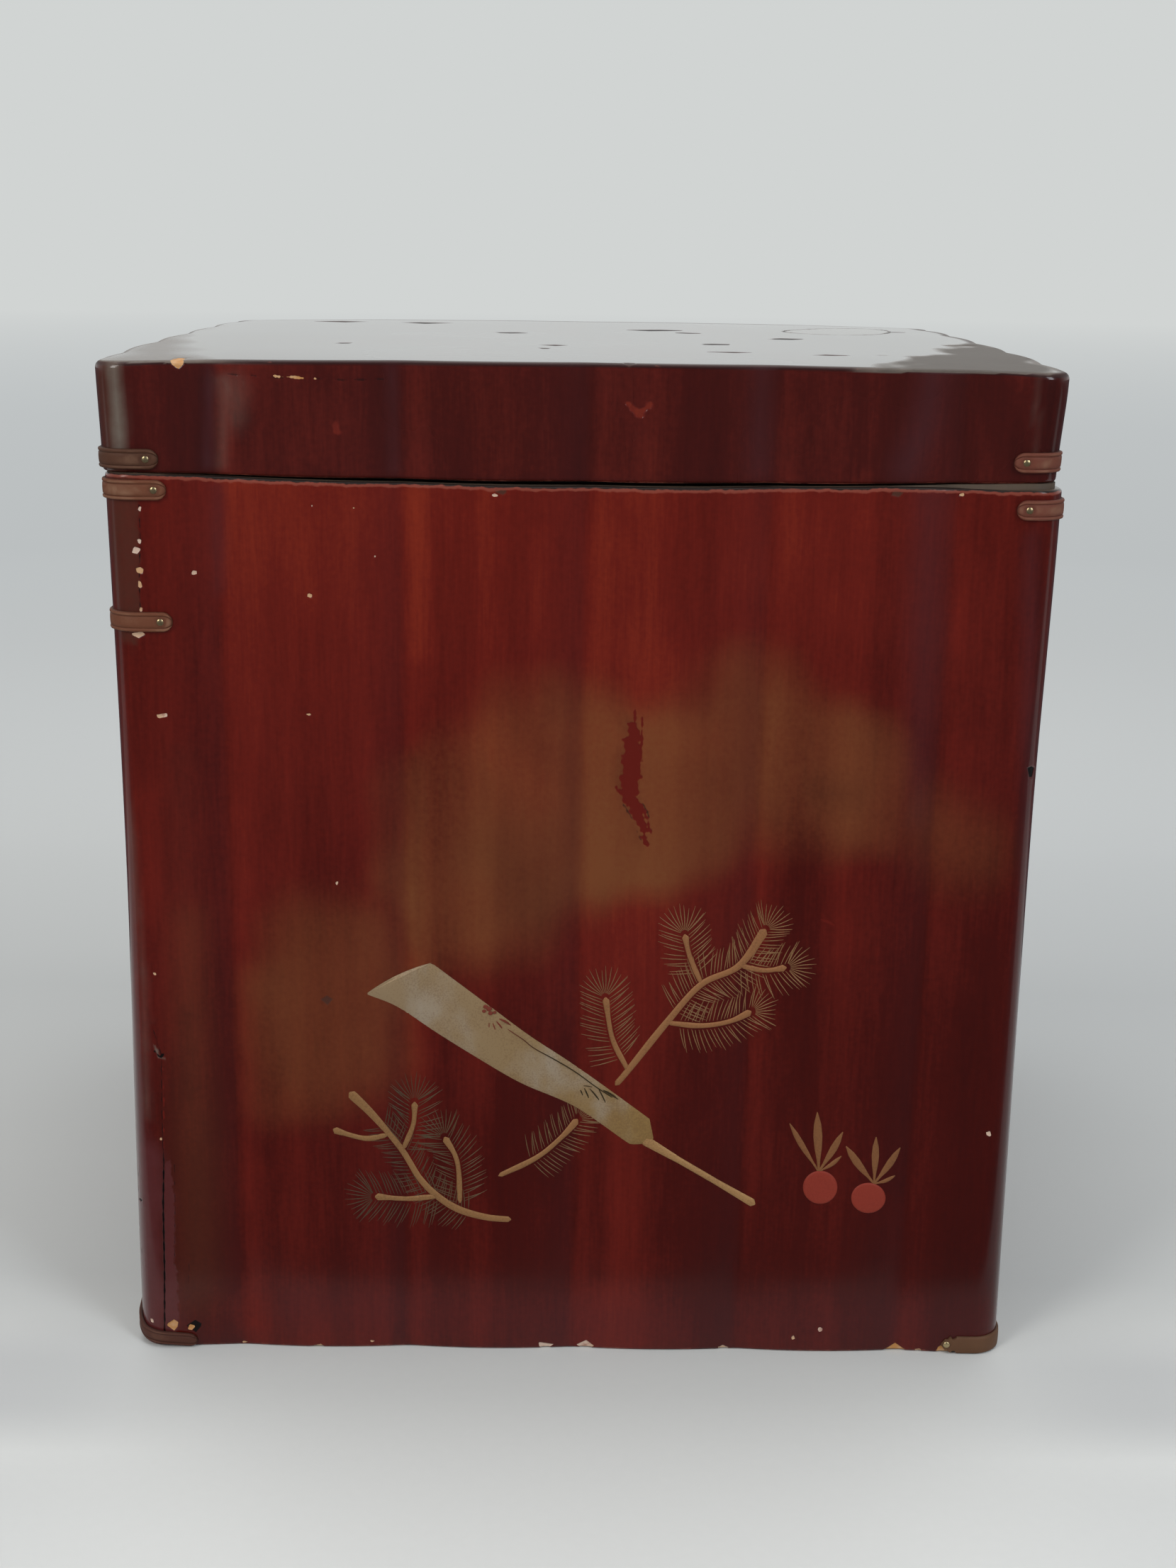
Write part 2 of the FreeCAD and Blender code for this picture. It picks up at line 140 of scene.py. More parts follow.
class Graph:
    """A node tree under construction."""

    def __init__(self, tree: bpy.types.NodeTree) -> None:
        """Empties the tree and keeps it."""
        self.tree = tree
        tree.nodes.clear()

    def node(
        self,
        kind: str,
        settings: Mapping[str, Any] | None = None,
        sockets: Mapping[str | int, Any] | None = None,
        out: str | int = 0,
    ) -> Expr:
        """Makes one node.

        Args:
            kind: The node's type.
            settings: Its properties, set first; "stops" are a colour ramp's.
            sockets: What its inputs take, a value or an Expr.
            out: The output that is wanted.

        Returns:
            That output.
        """
        made = self.tree.nodes.new(kind)
        for key, value in (settings or {}).items():
            if key == "stops":
                self._set_stops(made.color_ramp.elements, value)
            else:
                setattr(made, key, value)
        for key, value in (sockets or {}).items():
            if isinstance(value, Expr):
                self.tree.links.new(value.socket, made.inputs[key])
            else:
                made.inputs[key].default_value = value
        return Expr(self, made.outputs[out] if len(made.outputs) else None)

    @staticmethod
    def _set_stops(elements: Any, stops: Stops) -> None:
        """Gives a colour ramp its stops."""
        while len(elements) < len(stops):
            elements.new(0.5)
        for element, (place, colour) in zip(elements, stops):
            element.position = place
            element.color = colour

    def math(self, operation: str, *values: "Expr | float") -> Expr:
        """Makes a Math node of that operation."""
        return self.node("ShaderNodeMath", {"operation": operation}, dict(enumerate(values)))

    def mix(self, first: Any, second: Any, factor: "Expr | float") -> Expr:
        """Mixes two colours."""
        return self.node("ShaderNodeMix", {"data_type": "RGBA"}, {0: factor, 6: first, 7: second}, 2)

    def blend(self, first: Expr, second: Expr, factor: Expr) -> Expr:
        """Mixes two shaders."""
        return self.node("ShaderNodeMixShader", None, {0: factor, 1: first, 2: second})

    def ramp(self, value: Expr, stops: Stops) -> Expr:
        """Looks a value up in a colour ramp."""
        return self.node("ShaderNodeValToRGB", {"stops": stops}, {"Fac": value})

    def place(self) -> Expr:
        """Gives the object's own coordinates, in metres."""
        return self.node("ShaderNodeTexCoord", out="Object")

    def axis(self, number: int) -> Expr:
        """Gives one of the object's own coordinates."""
        return self.node("ShaderNodeSeparateXYZ", None, {0: self.place()}, number)

    def seen_by(self, ray: str) -> Expr:
        """Gives 1 to rays of a kind, and 0 to others."""
        return self.node("ShaderNodeLightPath", out=f"Is {ray} Ray")

    def noise(self, scale: float | tuple[float, ...], detail: float = 3.0, twist: float = 0.0) -> Expr:
        """Gives noise of so many waves to the metre, the same along each axis or one for each."""
        waves = scale if isinstance(scale, tuple) else (scale,) * 3
        scaled = self.node("ShaderNodeVectorMath", {"operation": "MULTIPLY"}, {0: self.place(), 1: waves})
        sockets = {"Vector": scaled, "Scale": 1.0, "Detail": detail, "Distortion": twist}
        return self.node("ShaderNodeTexNoise", None, sockets)

    def attribute(self, name: str) -> Expr:
        """Reads a number that the mesh holds at each point."""
        return self.node("ShaderNodeAttribute", {"attribute_name": name}, out="Fac")

    def bump(self, height: Expr, distance: float, strength: float = 1.0) -> Expr:
        """Turns a height into a normal; distance is in metres."""
        sockets = {"Height": height, "Distance": distance, "Strength": strength}
        return self.node("ShaderNodeBump", None, sockets)

    def surface(self, **sockets: Any) -> None:
        """Ends the tree in a Principled shader; underscores stand for spaces."""
        named = {key.replace("_", " "): value for key, value in sockets.items()}
        shader = self.node("ShaderNodeBsdfPrincipled", None, named)
        self.node("ShaderNodeOutputMaterial", None, {"Surface": shader})


@dataclass(frozen=True)
class Finish:
    """What every finish has: a name and a way to paint a material."""

    name: str

    def paint(self, graph: Graph) -> None:
        """Lays the nodes of the finish."""
        raise NotImplementedError

    def material(self) -> bpy.types.Material:
        """Gives the finish's material, made once."""
        found = bpy.data.materials.get(self.name)
        if found is not None:
            return found
        made = bpy.data.materials.new(self.name)
        made.use_nodes = True
        self.paint(Graph(made.node_tree))
        return made


@dataclass(frozen=True)
class RedLacquer(Finish):
    """Old red lacquer over cloth, with gold haze, worn edges and chips, and painted light: shade and
    highlight across the flutes, painted highlights, shade and reflections from marks, and a painted shadow
    on the rim.
    """

    stops: Stops = inks((0.0, 42, 6, 5), (0.35, 67, 10, 5), (0.65, 99, 22, 12), (1.0, 132, 42, 20))
    haze: Colour = ink(112, 62, 32)
    haze_low: Colour = ink(84, 42, 22)
    worn: Colour = ink(94, 20, 11)
    stain: Colour = ink(74, 43, 33)
    plum: Colour = ink(88, 42, 44)
    crack: Colour = ink(14, 7, 7)
    ground: Colour = ink(82, 67, 55)
    # Painted shadow on the rim, under the lid.
    shade: Colour = ink(34, 24, 20)
    # A painted reflection: a bluish veil over the red.
    cool: Colour = ink(68, 36, 40)
    wood: Colour = ink(178, 128, 76)
    # Pale dull wear, and painted highlights.
    ash: Colour = ink(106, 96, 87)
    orange: Colour = ink(134, 68, 54)
    tan: Colour = ink(190, 152, 116)
    pale: Colour = ink(198, 173, 156)
    level: float = 0.55
    roughness: float = 0.34
    gloss: float = 0.3
    relief: float = 0.00012

    def paint(self, graph: Graph) -> None:
        """Lays the nodes of the finish."""
        read = graph.attribute
        grain = graph.noise((950.0, 950.0, 70.0), 2.0)
        weave = graph.noise(620.0, 2.0)
        streak = graph.noise((52.0, 52.0, 3.4), 4.0)
        cloud = graph.noise((13.0, 13.0, 9.0), 4.0, 0.4)
        ragged = graph.noise(330.0, 4.0)
        # Painted light and shade across the flutes.
        flute = read("flute")
        # Painted highlights less painted shade, from the brightening and dimming marks; a few brightening
        # marks on the lid are worn orange spots.
        lit = read("glow") - read("dim")
        vein = (streak - 0.5) * (1 - 0.75 * read("crown").clamp())
        # The tone takes the painted flute light, the painted shade of fall on the body, and the painted
        # marks.
        tone = self.level + 0.14 * flute + 0.62 * vein + 0.4 * (cloud - 0.5) + read("fall")
        tone = tone + 0.3 * lit + 0.2 * (grain - 0.5) + 0.17 * (weave - 0.5)
        base = graph.ramp(tone.clamp(), self.stops)
        uneven = 0.77 + 0.5 * (weave - 0.5) + 1.5 * (cloud - 0.5) + 0.9 * (streak - 0.5)
        # The haze follows the painted light: more and brighter right of each groove and where marks brighten
        # it, darker where they dim it.
        powder = read("haze") * (1 + 0.25 * flute) * uneven
        bright = 0.78 + 0.3 * flute + 1.2 * (streak - 0.5) + 0.6 * lit
        base = graph.mix(base, graph.mix(self.haze_low, self.haze, bright.clamp()), powder.clamp())
        # A painted reflection: the bluish veil of its marks, and more of it on the dark side of each groove.
        painted_reflection_share = read("cool") * (0.6 + 0.8 * cloud) + 0.15 * (0 - flute).clamp()
        base = graph.mix(base, self.cool, painted_reflection_share.clamp())
        # The pale grey colour paints highlights as well as pale wear.
        for kind, colour in (("stain", self.stain), ("plum", self.plum), ("ash", self.ash)):
            base = graph.mix(base, colour, (read(kind) * (1 + 0.6 * (ragged - 0.5))).clamp())
        split = read("crack").smooth(0.25, 0.75)
        base = graph.mix(base, self.crack, split)
        base = graph.mix(base, self.worn, (read("worn") + 0.5 * (ragged - 0.5)).smooth(0.3, 0.7))
        edge = read("edge") + 0.55 * (ragged - 0.5) + 0.5 * (streak - 0.5)
        base = graph.mix(base, self.orange, 0.7 * edge.smooth(0.36, 0.52))
        # Painted shadow on the rim, under the lid.
        base = graph.mix(base, self.shade, edge.smooth(0.66, 0.8))
        base = graph.mix(base, self.ground, edge.smooth(1.25, 1.6))
        chip = (read("chip") + 0.5 * (ragged - 0.5)).smooth(0.44, 0.56)
        plaster = graph.mix(self.tan, self.pale, graph.noise(70.0, 1.0).smooth(0.42, 0.62))
        plaster = graph.mix(plaster, self.orange, 0.7 * ragged.smooth(0.52, 0.75))
        base = graph.mix(base, plaster, chip)
        bare = (read("wood") + 0.4 * (ragged - 0.5)).smooth(0.4, 0.6)
        base = graph.mix(base, graph.mix(self.wood, self.tan, ragged.smooth(0.4, 0.7)), bare)
        chip = chip.top(bare)
        dull = read("dull").top(split)
        rough = self.roughness + 0.12 * (cloud - 0.5) + 0.35 * chip + 0.3 * dull
        rough = rough + 0.3 * edge.smooth(0.5, 0.8)
        height = 0.5 * grain + 0.4 * weave + 0.6 * ragged * chip
        coat = (self.gloss + read("crown")) * (1 - 0.92 * dull) * (1 - chip)
        graph.surface(
            Base_Color=base,
            Roughness=rough.clamp(),
            Normal=graph.bump(height, self.relief, 0.5),
            Specular_IOR_Level=0.16,
            Coat_Weight=coat.clamp(),
            Coat_Roughness=0.1,
            Coat_IOR=1.55,
        )


@dataclass(frozen=True)
class BlackLacquer(Finish):
    """Black lacquer with a brown cast, rubbed brown here and there, and dust."""

    dark: Colour = ink(20, 15, 14)
    brown: Colour = ink(58, 34, 26)
    dust: Colour = ink(86, 80, 72)
    relief: float = 0.00008

    def paint(self, graph: Graph) -> None:
        """Lays the nodes of the finish."""
        cloud = graph.noise(16.0, 4.0, 0.5)
        fine = graph.noise(420.0, 3.0)
        hair = graph.noise((90.0, 1400.0, 90.0), 2.0)
        base = graph.mix(self.dark, self.brown, (0.55 * cloud.smooth(0.45, 0.8) + 0.25 * fine).clamp())
        graph.surface(
            Base_Color=graph.mix(base, self.dust, 0.35 * fine.smooth(0.62, 0.8)),
            Roughness=0.24 + 0.25 * cloud.smooth(0.4, 0.75) + 0.15 * hair,
            Normal=graph.bump(fine + 0.5 * hair, self.relief, 0.4),
        )


@dataclass(frozen=True)
class Board(Finish):
    """Aged softwood board; its rim, where the lid rests, is grey with old ground."""

    light: Colour = ink(134, 98, 66)
    dark: Colour = ink(84, 56, 38)
    ground: Colour = ink(72, 61, 50)
    rim: float = 0.2992
    above: float = 0.303
    blur: float = 0.001
    relief: float = 0.00012

    def paint(self, graph: Graph) -> None:
        """Lays the nodes of the finish."""
        rings = graph.noise((150.0, 150.0, 6.0), 4.0, 0.6)
        pores = graph.noise((1500.0, 1500.0, 60.0), 2.0)
        stain = graph.noise(12.0, 3.0)
        base = graph.mix(self.light, self.dark, (rings.smooth(0.35, 0.65) * 0.7 + 0.3 * stain).clamp())
        base = graph.mix(base, self.dark, 0.5 * pores.smooth(0.55, 0.75))
        height = graph.axis(2)
        below = 1 - height.smooth(self.above, self.above + self.blur)
        graph.surface(
            Base_Color=graph.mix(
                base, self.ground, height.smooth(self.rim, self.rim + self.blur) * below * 0.9
            ),
            Roughness=0.62 + 0.2 * pores,
            Normal=graph.bump(rings + pores, self.relief, 0.5),
        )


@dataclass(frozen=True)
class Leather(Finish):
    """Brown strap leather, darker where the strap is thin, in its creases and at its edges, a painted shade,
    and paler on its raised borders, a painted highlight.
    """

    base: Colour = ink(86, 57, 43)
    dark: Colour = ink(46, 27, 20)
    pale: Colour = ink(146, 112, 88)
    relief: float = 0.0001

    def paint(self, graph: Graph) -> None:
        """Lays the nodes of the finish."""
        pores = graph.noise(1300.0, 3.0)
        cloud = graph.noise(120.0, 4.0, 0.4)
        height = graph.attribute("raise")
        # Painted shade where the strap is thin.
        base = graph.mix(self.base, self.dark, (0.8 * (1 - height) + 0.5 * (cloud - 0.5)).clamp())
        graph.surface(
            # Painted highlight on the raised borders.
            Base_Color=graph.mix(base, self.pale, 0.55 * (height + 0.8 * (cloud - 0.5)).smooth(0.92, 1.25)),
            Roughness=0.46 + 0.3 * cloud,
            Specular_IOR_Level=0.22,
            Normal=graph.bump(pores + 0.7 * cloud, self.relief, 0.6),
        )


@dataclass(frozen=True)
class Brass(Finish):
    """Nail brass with brown tarnish."""

    bright: Colour = ink(178, 156, 144)
    dull: Colour = ink(58, 47, 42)
    relief: float = 0.00005

    def paint(self, graph: Graph) -> None:
        """Lays the nodes of the finish."""
        spots = graph.noise(900.0, 4.0)
        graph.surface(
            Base_Color=graph.mix(self.bright, self.dull, spots.smooth(0.42, 0.66)),
            Metallic=0.85 - 0.5 * spots.smooth(0.5, 0.7),
            Roughness=0.22 + 0.35 * spots,
            Normal=graph.bump(spots, self.relief, 0.5),
        )


@dataclass(frozen=True)
class RaisedPaint(Finish):
    """Powdered metal or coloured lacquer laid on in relief, which changes from left to right."""

    left: Colour = ink(168, 132, 84)
    right: Colour = ink(160, 122, 74)
    speck: Colour = ink(92, 56, 32)
    sheen: Colour = ink(168, 160, 148)
    specks: float = 0.35
    metal: float = 0.25
    mottle: float = 0.0
    span: tuple[float, float] = (-0.075, 0.06)
    relief: float = 0.00006

    def paint(self, graph: Graph) -> None:
        """Lays the nodes of the finish."""
        grit = graph.noise(1700.0, 2.0)
        cloud = graph.noise(90.0, 4.0, 0.3)
        patch = graph.noise((60.0, 60.0, 36.0), 5.0, 0.3).smooth(0.46, 0.72)
        base = graph.mix(self.left, self.right, graph.axis(0).smooth(*self.span))
        base = graph.mix(base, self.sheen, patch * self.mottle)
        spots = self.specks * (grit + 0.6 * cloud).smooth(0.72, 1.05)
        graph.surface(
            Base_Color=graph.mix(base, self.speck, spots),
            Metallic=self.metal * (1 - spots),
            Roughness=0.42 + 0.25 * grit,
            Specular_IOR_Level=0.28,
            Normal=graph.bump(grit + cloud, self.relief, 0.5),
        )


@dataclass(frozen=True)
class Paper(Finish):
    """The pale floor, with painted shadow near, beside and behind the object, which fades into the
    backdrop's tone far from the object; that tone is a painted shade, darker at middle distance.

    The lacquer mirrors it as a sheet with the dim room before and behind it. Places are metres.
    """

    # Painted shadow: darker just in front of the object, and darker still under and behind it.
    near: Stops = inks(
        (0.0, 214, 216, 214), (0.04, 212, 214, 212), (0.07, 206, 208, 206), (0.085, 206, 208, 206),
        (0.137, 190, 193, 192), (0.22, 190, 193, 192), (0.395, 180, 183, 183), (0.62, 193, 196, 196),
        (1.0, 196, 199, 199),
    )
    # The backdrop's tone by distance, with painted shade darker at middle distance.
    far: Stops = inks((0.0, 202, 205, 205), (0.2, 187, 191, 192), (0.4, 190, 194, 195), (1.0, 209, 212, 211))
    # Painted shadow on the floor at the front's sides.
    shade: Colour = ink(188, 190, 190)
    fibre: Colour = ink(180, 182, 180)
    room: Colour = ink(66, 66, 70)
    sheet: tuple[float, float] = (0.186, 0.212)
    front: float = -0.26
    depth: float = 1.17
    distance: float = 9.0
    line: float = -0.175
    border: float = 0.38

    def paint(self, graph: Graph) -> None:
        """Lays the nodes of the finish."""
        away = graph.node("ShaderNodeVectorMath", {"operation": "LENGTH"}, {0: graph.place()}, "Value")
        deep = graph.axis(1)
        near = graph.ramp((deep - self.front) / self.depth, self.near)
        # Painted shadow at the sides: a band just in front of the object, and a weaker one further forward.
        painted_shadow_band = 1 - abs(deep - self.line).smooth(0.01, 0.05)
        painted_shadow_band = painted_shadow_band.top(self.border * (1 - deep.smooth(-0.24, -0.2)))
        near = graph.mix(near, self.shade, abs(graph.axis(0)).smooth(0.1, 0.2) * painted_shadow_band)
        near = graph.mix(near, self.fibre, 0.1 * graph.noise(260.0, 3.0))
        sockets = {"Base Color": near, "Roughness": 0.85, "Specular IOR Level": 0.2}
        lit = graph.node("ShaderNodeBsdfPrincipled", None, sockets)
        glow = graph.node("ShaderNodeEmission", None, {"Color": graph.ramp(away / self.distance, self.far)})
        shader = graph.blend(lit, glow, away.smooth(0.55, 1.7) * graph.seen_by("Camera"))
        dim = graph.node("ShaderNodeEmission", None, {"Color": self.room})
        shader = graph.blend(shader, dim, abs(deep).smooth(*self.sheet) * graph.seen_by("Glossy"))
        graph.node("ShaderNodeOutputMaterial", None, {"Surface": shader})


class Side(Enum):
    """The four walls, counter-clockwise from above."""

    FRONT = 0
    RIGHT = 1
    BACK = 2
    LEFT = 3


OUTWARD = np.array([(0.0, -1.0), (1.0, 0.0), (0.0, 1.0), (-1.0, 0.0)])


@dataclass(frozen=True)
class Sway:
    """How far a wall stands out from the plan at some heights."""

    heights: tuple[float, ...]
    offsets: tuple[float, ...]
    blur: float = 14.0

    def at(self, z: Array) -> Array:
        """Gives the offset at height z, with the corners of the curve eased."""
        shifts = self.blur * np.linspace(-1.0, 1.0, 5)
        return np.mean([np.interp(z + shift, self.heights, self.offsets) for shift in shifts], axis=0)


STRAIGHT = {side: Sway((0.0,), (0.0,)) for side in Side}


@dataclass(frozen=True)
class Skin:
    """A fluted square wall seen from above, with soft grooves and four rounded corners."""

    half: float
    sways: Mapping[Side, Sway]
    shift: float = 0.0
    corner: float = 9.5
    pitch: float = 57.0
    groove: float = 3.0
    soft: float = 2.4
    wander: tuple[float, float] = (0.0, 0.0)
    settle: float = 0.0
    settled: float = 34.0
    fade: float = 6.0
    tall: float = 302.9
    bend_steps: int = 8

    @property
    def flat(self) -> float:
        """How far along a wall its corner begins."""
        return self.half - self.corner

    def drawn(self, u: Array, z: Array, front: Array) -> Array:
        """Gives u from the grooves' own middle, as those of the front drift to the right upwards."""
        drift = (self.wander[0] + self.wander[1] * u) * z / self.tall
        return u - np.where(front, drift, 0.0)

    def depth(self, u: Array) -> Array:
        """How far the wall lies behind its crests at u along it."""
        radius = ((self.pitch / 2) ** 2 + self.groove**2) / (2 * self.groove)
        away = np.abs((u + self.pitch / 2) % self.pitch - self.pitch / 2)
        crest = self.pitch / 2 - np.hypot(away, self.soft)
        return radius - np.sqrt(radius**2 - crest**2)

    def point(self, side: Array, u: Array, angle: Array, z: Array, out: Array | float = 0.0) -> Array:
        """Gives points of the skin.

        Args:
            side: The wall's number.
            u: The place along it.
            angle: How far round the corner after it, in radians, 0 on the wall itself.
            z: The height.
            out: How far the point stands out from the skin.

        Returns:
            The points, in millimetres, one to the last axis.
        """
        side, u, angle, z, out = np.broadcast_arrays(side, u, angle, z, out)
        normal = OUTWARD[side]
        along = OUTWARD[(side + 1) % 4]
        on_wall = (angle <= 0)[..., None]
        cosine, sine = np.cos(angle)[..., None], np.sin(angle)[..., None]
        turned = normal * cosine + along * sine
        across = self.drawn(u, z, side == 0)
        slope = ((self.depth(across + 0.1) - self.depth(across - 0.1)) / 0.2)[..., None]
        facing = np.where(on_wall, normal + slope * along, turned)
        facing = facing / np.linalg.norm(facing, axis=-1, keepdims=True)
        ends = 1 - ease(np.abs(u), self.flat - self.fade, self.flat)
        bowl = np.where(side == 0, self.depth(across) * ends + self.depth(u) * (1 - ends), self.depth(u))
        bowl = bowl * (1 - self.settle * (1 - ease(z, 0.0, self.settled)))
        inset = np.where(on_wall, bowl[..., None], 0.0)
        plan = normal * (self.flat - inset) + along * u[..., None] + self.corner * turned
        stretch_x = np.where(plan[..., 0] > 0, self.sways[Side.RIGHT].at(z), self.sways[Side.LEFT].at(z))
        stretch_y = np.where(plan[..., 1] > 0, self.sways[Side.BACK].at(z), self.sways[Side.FRONT].at(z))
        x = plan[..., 0] * (1 + stretch_x / self.half) + self.shift + out * facing[..., 0]
        y = plan[..., 1] * (1 + stretch_y / self.half) + out * facing[..., 1]
        return np.stack([x, y, z], axis=-1)

    def front_y(self, x: Array, z: Array) -> Array:
        """Gives the front wall's y at x and z."""
        stretch = np.where(x > self.shift, self.sways[Side.RIGHT].at(z), self.sways[Side.LEFT].at(z))
        u = (x - self.shift) / (1 + stretch / self.half)
        return self.point(0, u, 0.0, z)[..., 1]

    def loop(self, step: float = 1.9) -> tuple[Array, Array, Array]:
        """Gives side, u and angle of stations all the way round."""
        count = int(self.flat / step)
        walls = np.concatenate([[-self.flat], np.arange(-count, count + 1) * step])
        bends = np.linspace(0, math.pi / 2, self.bend_steps + 1)[:-1]
        side = np.repeat(np.arange(4), len(walls) + len(bends))
        u = np.tile(np.concatenate([walls, np.full(len(bends), self.flat)]), 4)
        angle = np.tile(np.concatenate([np.zeros(len(walls)), bends]), 4)
        return side, u, angle

    def walk(self, corner: int, distance: Array) -> tuple[Array, Array, Array]:
        """Gives stations at a distance from the middle of a corner, which follows the side of its number."""
        bend = self.corner * math.pi / 4
        before = distance < -bend
        after = distance > bend
        side = np.where(after, (corner + 1) % 4, corner)
        u = np.where(before, self.flat + distance + bend, self.flat)
        u = np.where(after, -self.flat + distance - bend, u)
        angle = np.where(before | after, 0.0, (distance + bend) / self.corner)
        return side, u, angle


class MeshMaker:
    """Collects points and faces for one object."""

    def __init__(self, sharp: float = 48.0) -> None:
        """Starts empty; edges that turn by more than so many degrees stay sharp."""
        self.sharp = sharp
        self.points: list[Array] = []
        self.faces: list[tuple[int, ...]] = []
        self.numbers: dict[str, list[Array]] = {}
        self.count = 0

    def add(self, points: Array, **numbers: Array) -> Array:
        """Adds points and gives their indices in the same shape."""
        shape = points.shape[:-1]
        size = int(np.prod(shape))
        self.points.append(points.reshape(-1, 3))
        for name, values in numbers.items():
            self.numbers.setdefault(name, []).append(np.broadcast_to(values, shape).reshape(-1))
        indices = np.arange(self.count, self.count + size).reshape(shape)
        self.count += size
        return indices

    def quads(self, indices: Array, wrap: bool = False) -> None:
        """Joins a grid of indices by quads, from its first row up; wrap closes each row."""
        right = np.roll(indices, -1, axis=1) if wrap else indices[:, 1:]
        left = indices if wrap else indices[:, :-1]
        corners = np.stack([left[:-1], right[:-1], right[1:], left[1:]], axis=-1)
        self.faces.extend(tuple(face) for face in corners.reshape(-1, 4).tolist())

    def cap(self, ring: Array, flip: bool = False) -> None:
        """Closes a ring of indices with one face."""
        face = ring.tolist()
        self.faces.append(tuple(reversed(face)) if flip else tuple(face))

    def loft(self, rings: Array, **numbers: Array) -> None:
        """Makes a closed solid through rings of points, each ring a closed section."""
        indices = self.add(rings, **numbers)
        self.quads(indices, wrap=True)
        self.cap(indices[0], flip=True)
        self.cap(indices[-1])

    def make(self, name: str, finish: Finish, slot: str, body: str) -> bpy.types.Object:
        """Makes the object and lets it ride.

        Args:
            name: The piece's name.
            finish: What it is finished in.
            slot: The record's material slot; not used.
            body: The CAD body that carries it.

        Returns:
            The object.
        """
        mesh = bpy.data.meshes.new(name)
        mesh.from_pydata((np.concatenate(self.points) * MM).tolist(), [], self.faces)
        for key, values in self.numbers.items():
            layer = mesh.attributes.new(key, "FLOAT", "POINT")
            layer.data.foreach_set("value", np.concatenate(values).astype(np.float32))
        bm = bmesh.new()
        bm.from_mesh(mesh)
        bmesh.ops.recalc_face_normals(bm, faces=bm.faces)
        bm.to_mesh(mesh)
        bm.free()
        mesh.shade_smooth()
        mesh.set_sharp_from_angle(angle=math.radians(self.sharp))
        mesh.materials.append(finish.material())
        made = bpy.data.objects.new(name, mesh)
        bpy.context.scene.collection.objects.link(made)
        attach(made, body)
        LOG.info("%s: %d faces on %s", name, len(mesh.polygons), body)
        return made


@dataclass(frozen=True)
class PhotoCamera:
    """The camera that took the photograph, and where its pixels fall on the object."""

    frame: tuple[int, int] = (1659, 2212)
    focal: float = 2900.0
    position: tuple[float, float, float] = (-1.6, -792.8, 377.7)
    pitch: float = 15.08
    yaw: float = -0.40
    roll: float = 0.75
    film: float = 36.0

    def rotation(self) -> Matrix:
        """Gives the camera's turn."""
        turns = [("Z", self.yaw), ("X", 90 - self.pitch), ("Z", self.roll)]
        made = Matrix.Identity(3)
        for axis, degrees in turns:
            made = made @ Matrix.Rotation(math.radians(degrees), 3, axis)
        return made

    def on_plane(self, pixels: Array, axis: int, value: Array | float) -> Array:
        """Gives the points where pixels meet a plane across an axis.

        Args:
            pixels: Pixels of the photograph, one to the last axis.
            axis: The axis that the plane stands across.
            value: Where on that axis it stands.

        Returns:
            The points, in millimetres.
        """
        across = (pixels[..., 0] - self.frame[0] / 2) / self.focal
        down = (pixels[..., 1] - self.frame[1] / 2) / self.focal
        local = np.stack([across, -down, -np.ones_like(across)], axis=-1)
        ray = local @ np.array(self.rotation()).T
        start = np.array(self.position)
        reach = (value - start[axis]) / ray[..., axis]
        return start + ray * reach[..., None]

    def on_front(self, skin: Skin, pixels: Array) -> Array:
        """Gives x and z where pixels meet the front wall of a skin."""
        y: Array | float = -skin.half
        for _ in range(4):
            met = self.on_plane(pixels, 1, y)
            y = skin.front_y(met[..., 0], met[..., 2])
        return met[..., [0, 2]]

    def make(self) -> None:
        """Makes the scene's camera."""
        data = bpy.data.cameras.new("photo_camera")
        data.sensor_width = self.film
        data.lens = self.focal * self.film / max(self.frame)
        data.clip_start = 0.01
        data.clip_end = 60.0
        made = bpy.data.objects.new("photo_camera", data)
        turn = self.rotation().to_4x4()
        made.matrix_world = Matrix.Translation(Vector(self.position) * MM) @ turn
        bpy.context.scene.collection.objects.link(made)
        bpy.context.scene.camera = made


class Plane(Enum):
    """The faces that damage and painted light lie on.

    Each has the two axes that span it, the third with its sign, how far out on that the marks
    show, and how far out the mesh is divided for it.
    """

    FRONT = (0, 2, 1, -1, 139.0, 139.0)
    BACK = (0, 2, 1, 1, 139.0, 139.0)
    LEFT = (1, 2, 0, -1, 139.0, 139.0)
    RIGHT = (1, 2, 0, 1, 139.0, 139.0)
    TOP = (0, 1, 2, 1, 336.7, 334.0)


# Of these kinds, dim paints shade and glow paints highlights and brightens a few worn spots; the bluish veil
# paints a reflection, and the pale grey one paints highlights as well as pale wear.
KINDS = ("haze", "worn", "stain", "plum", "crack", "chip", "dull", "cool", "wood", "ash", "glow", "dim")


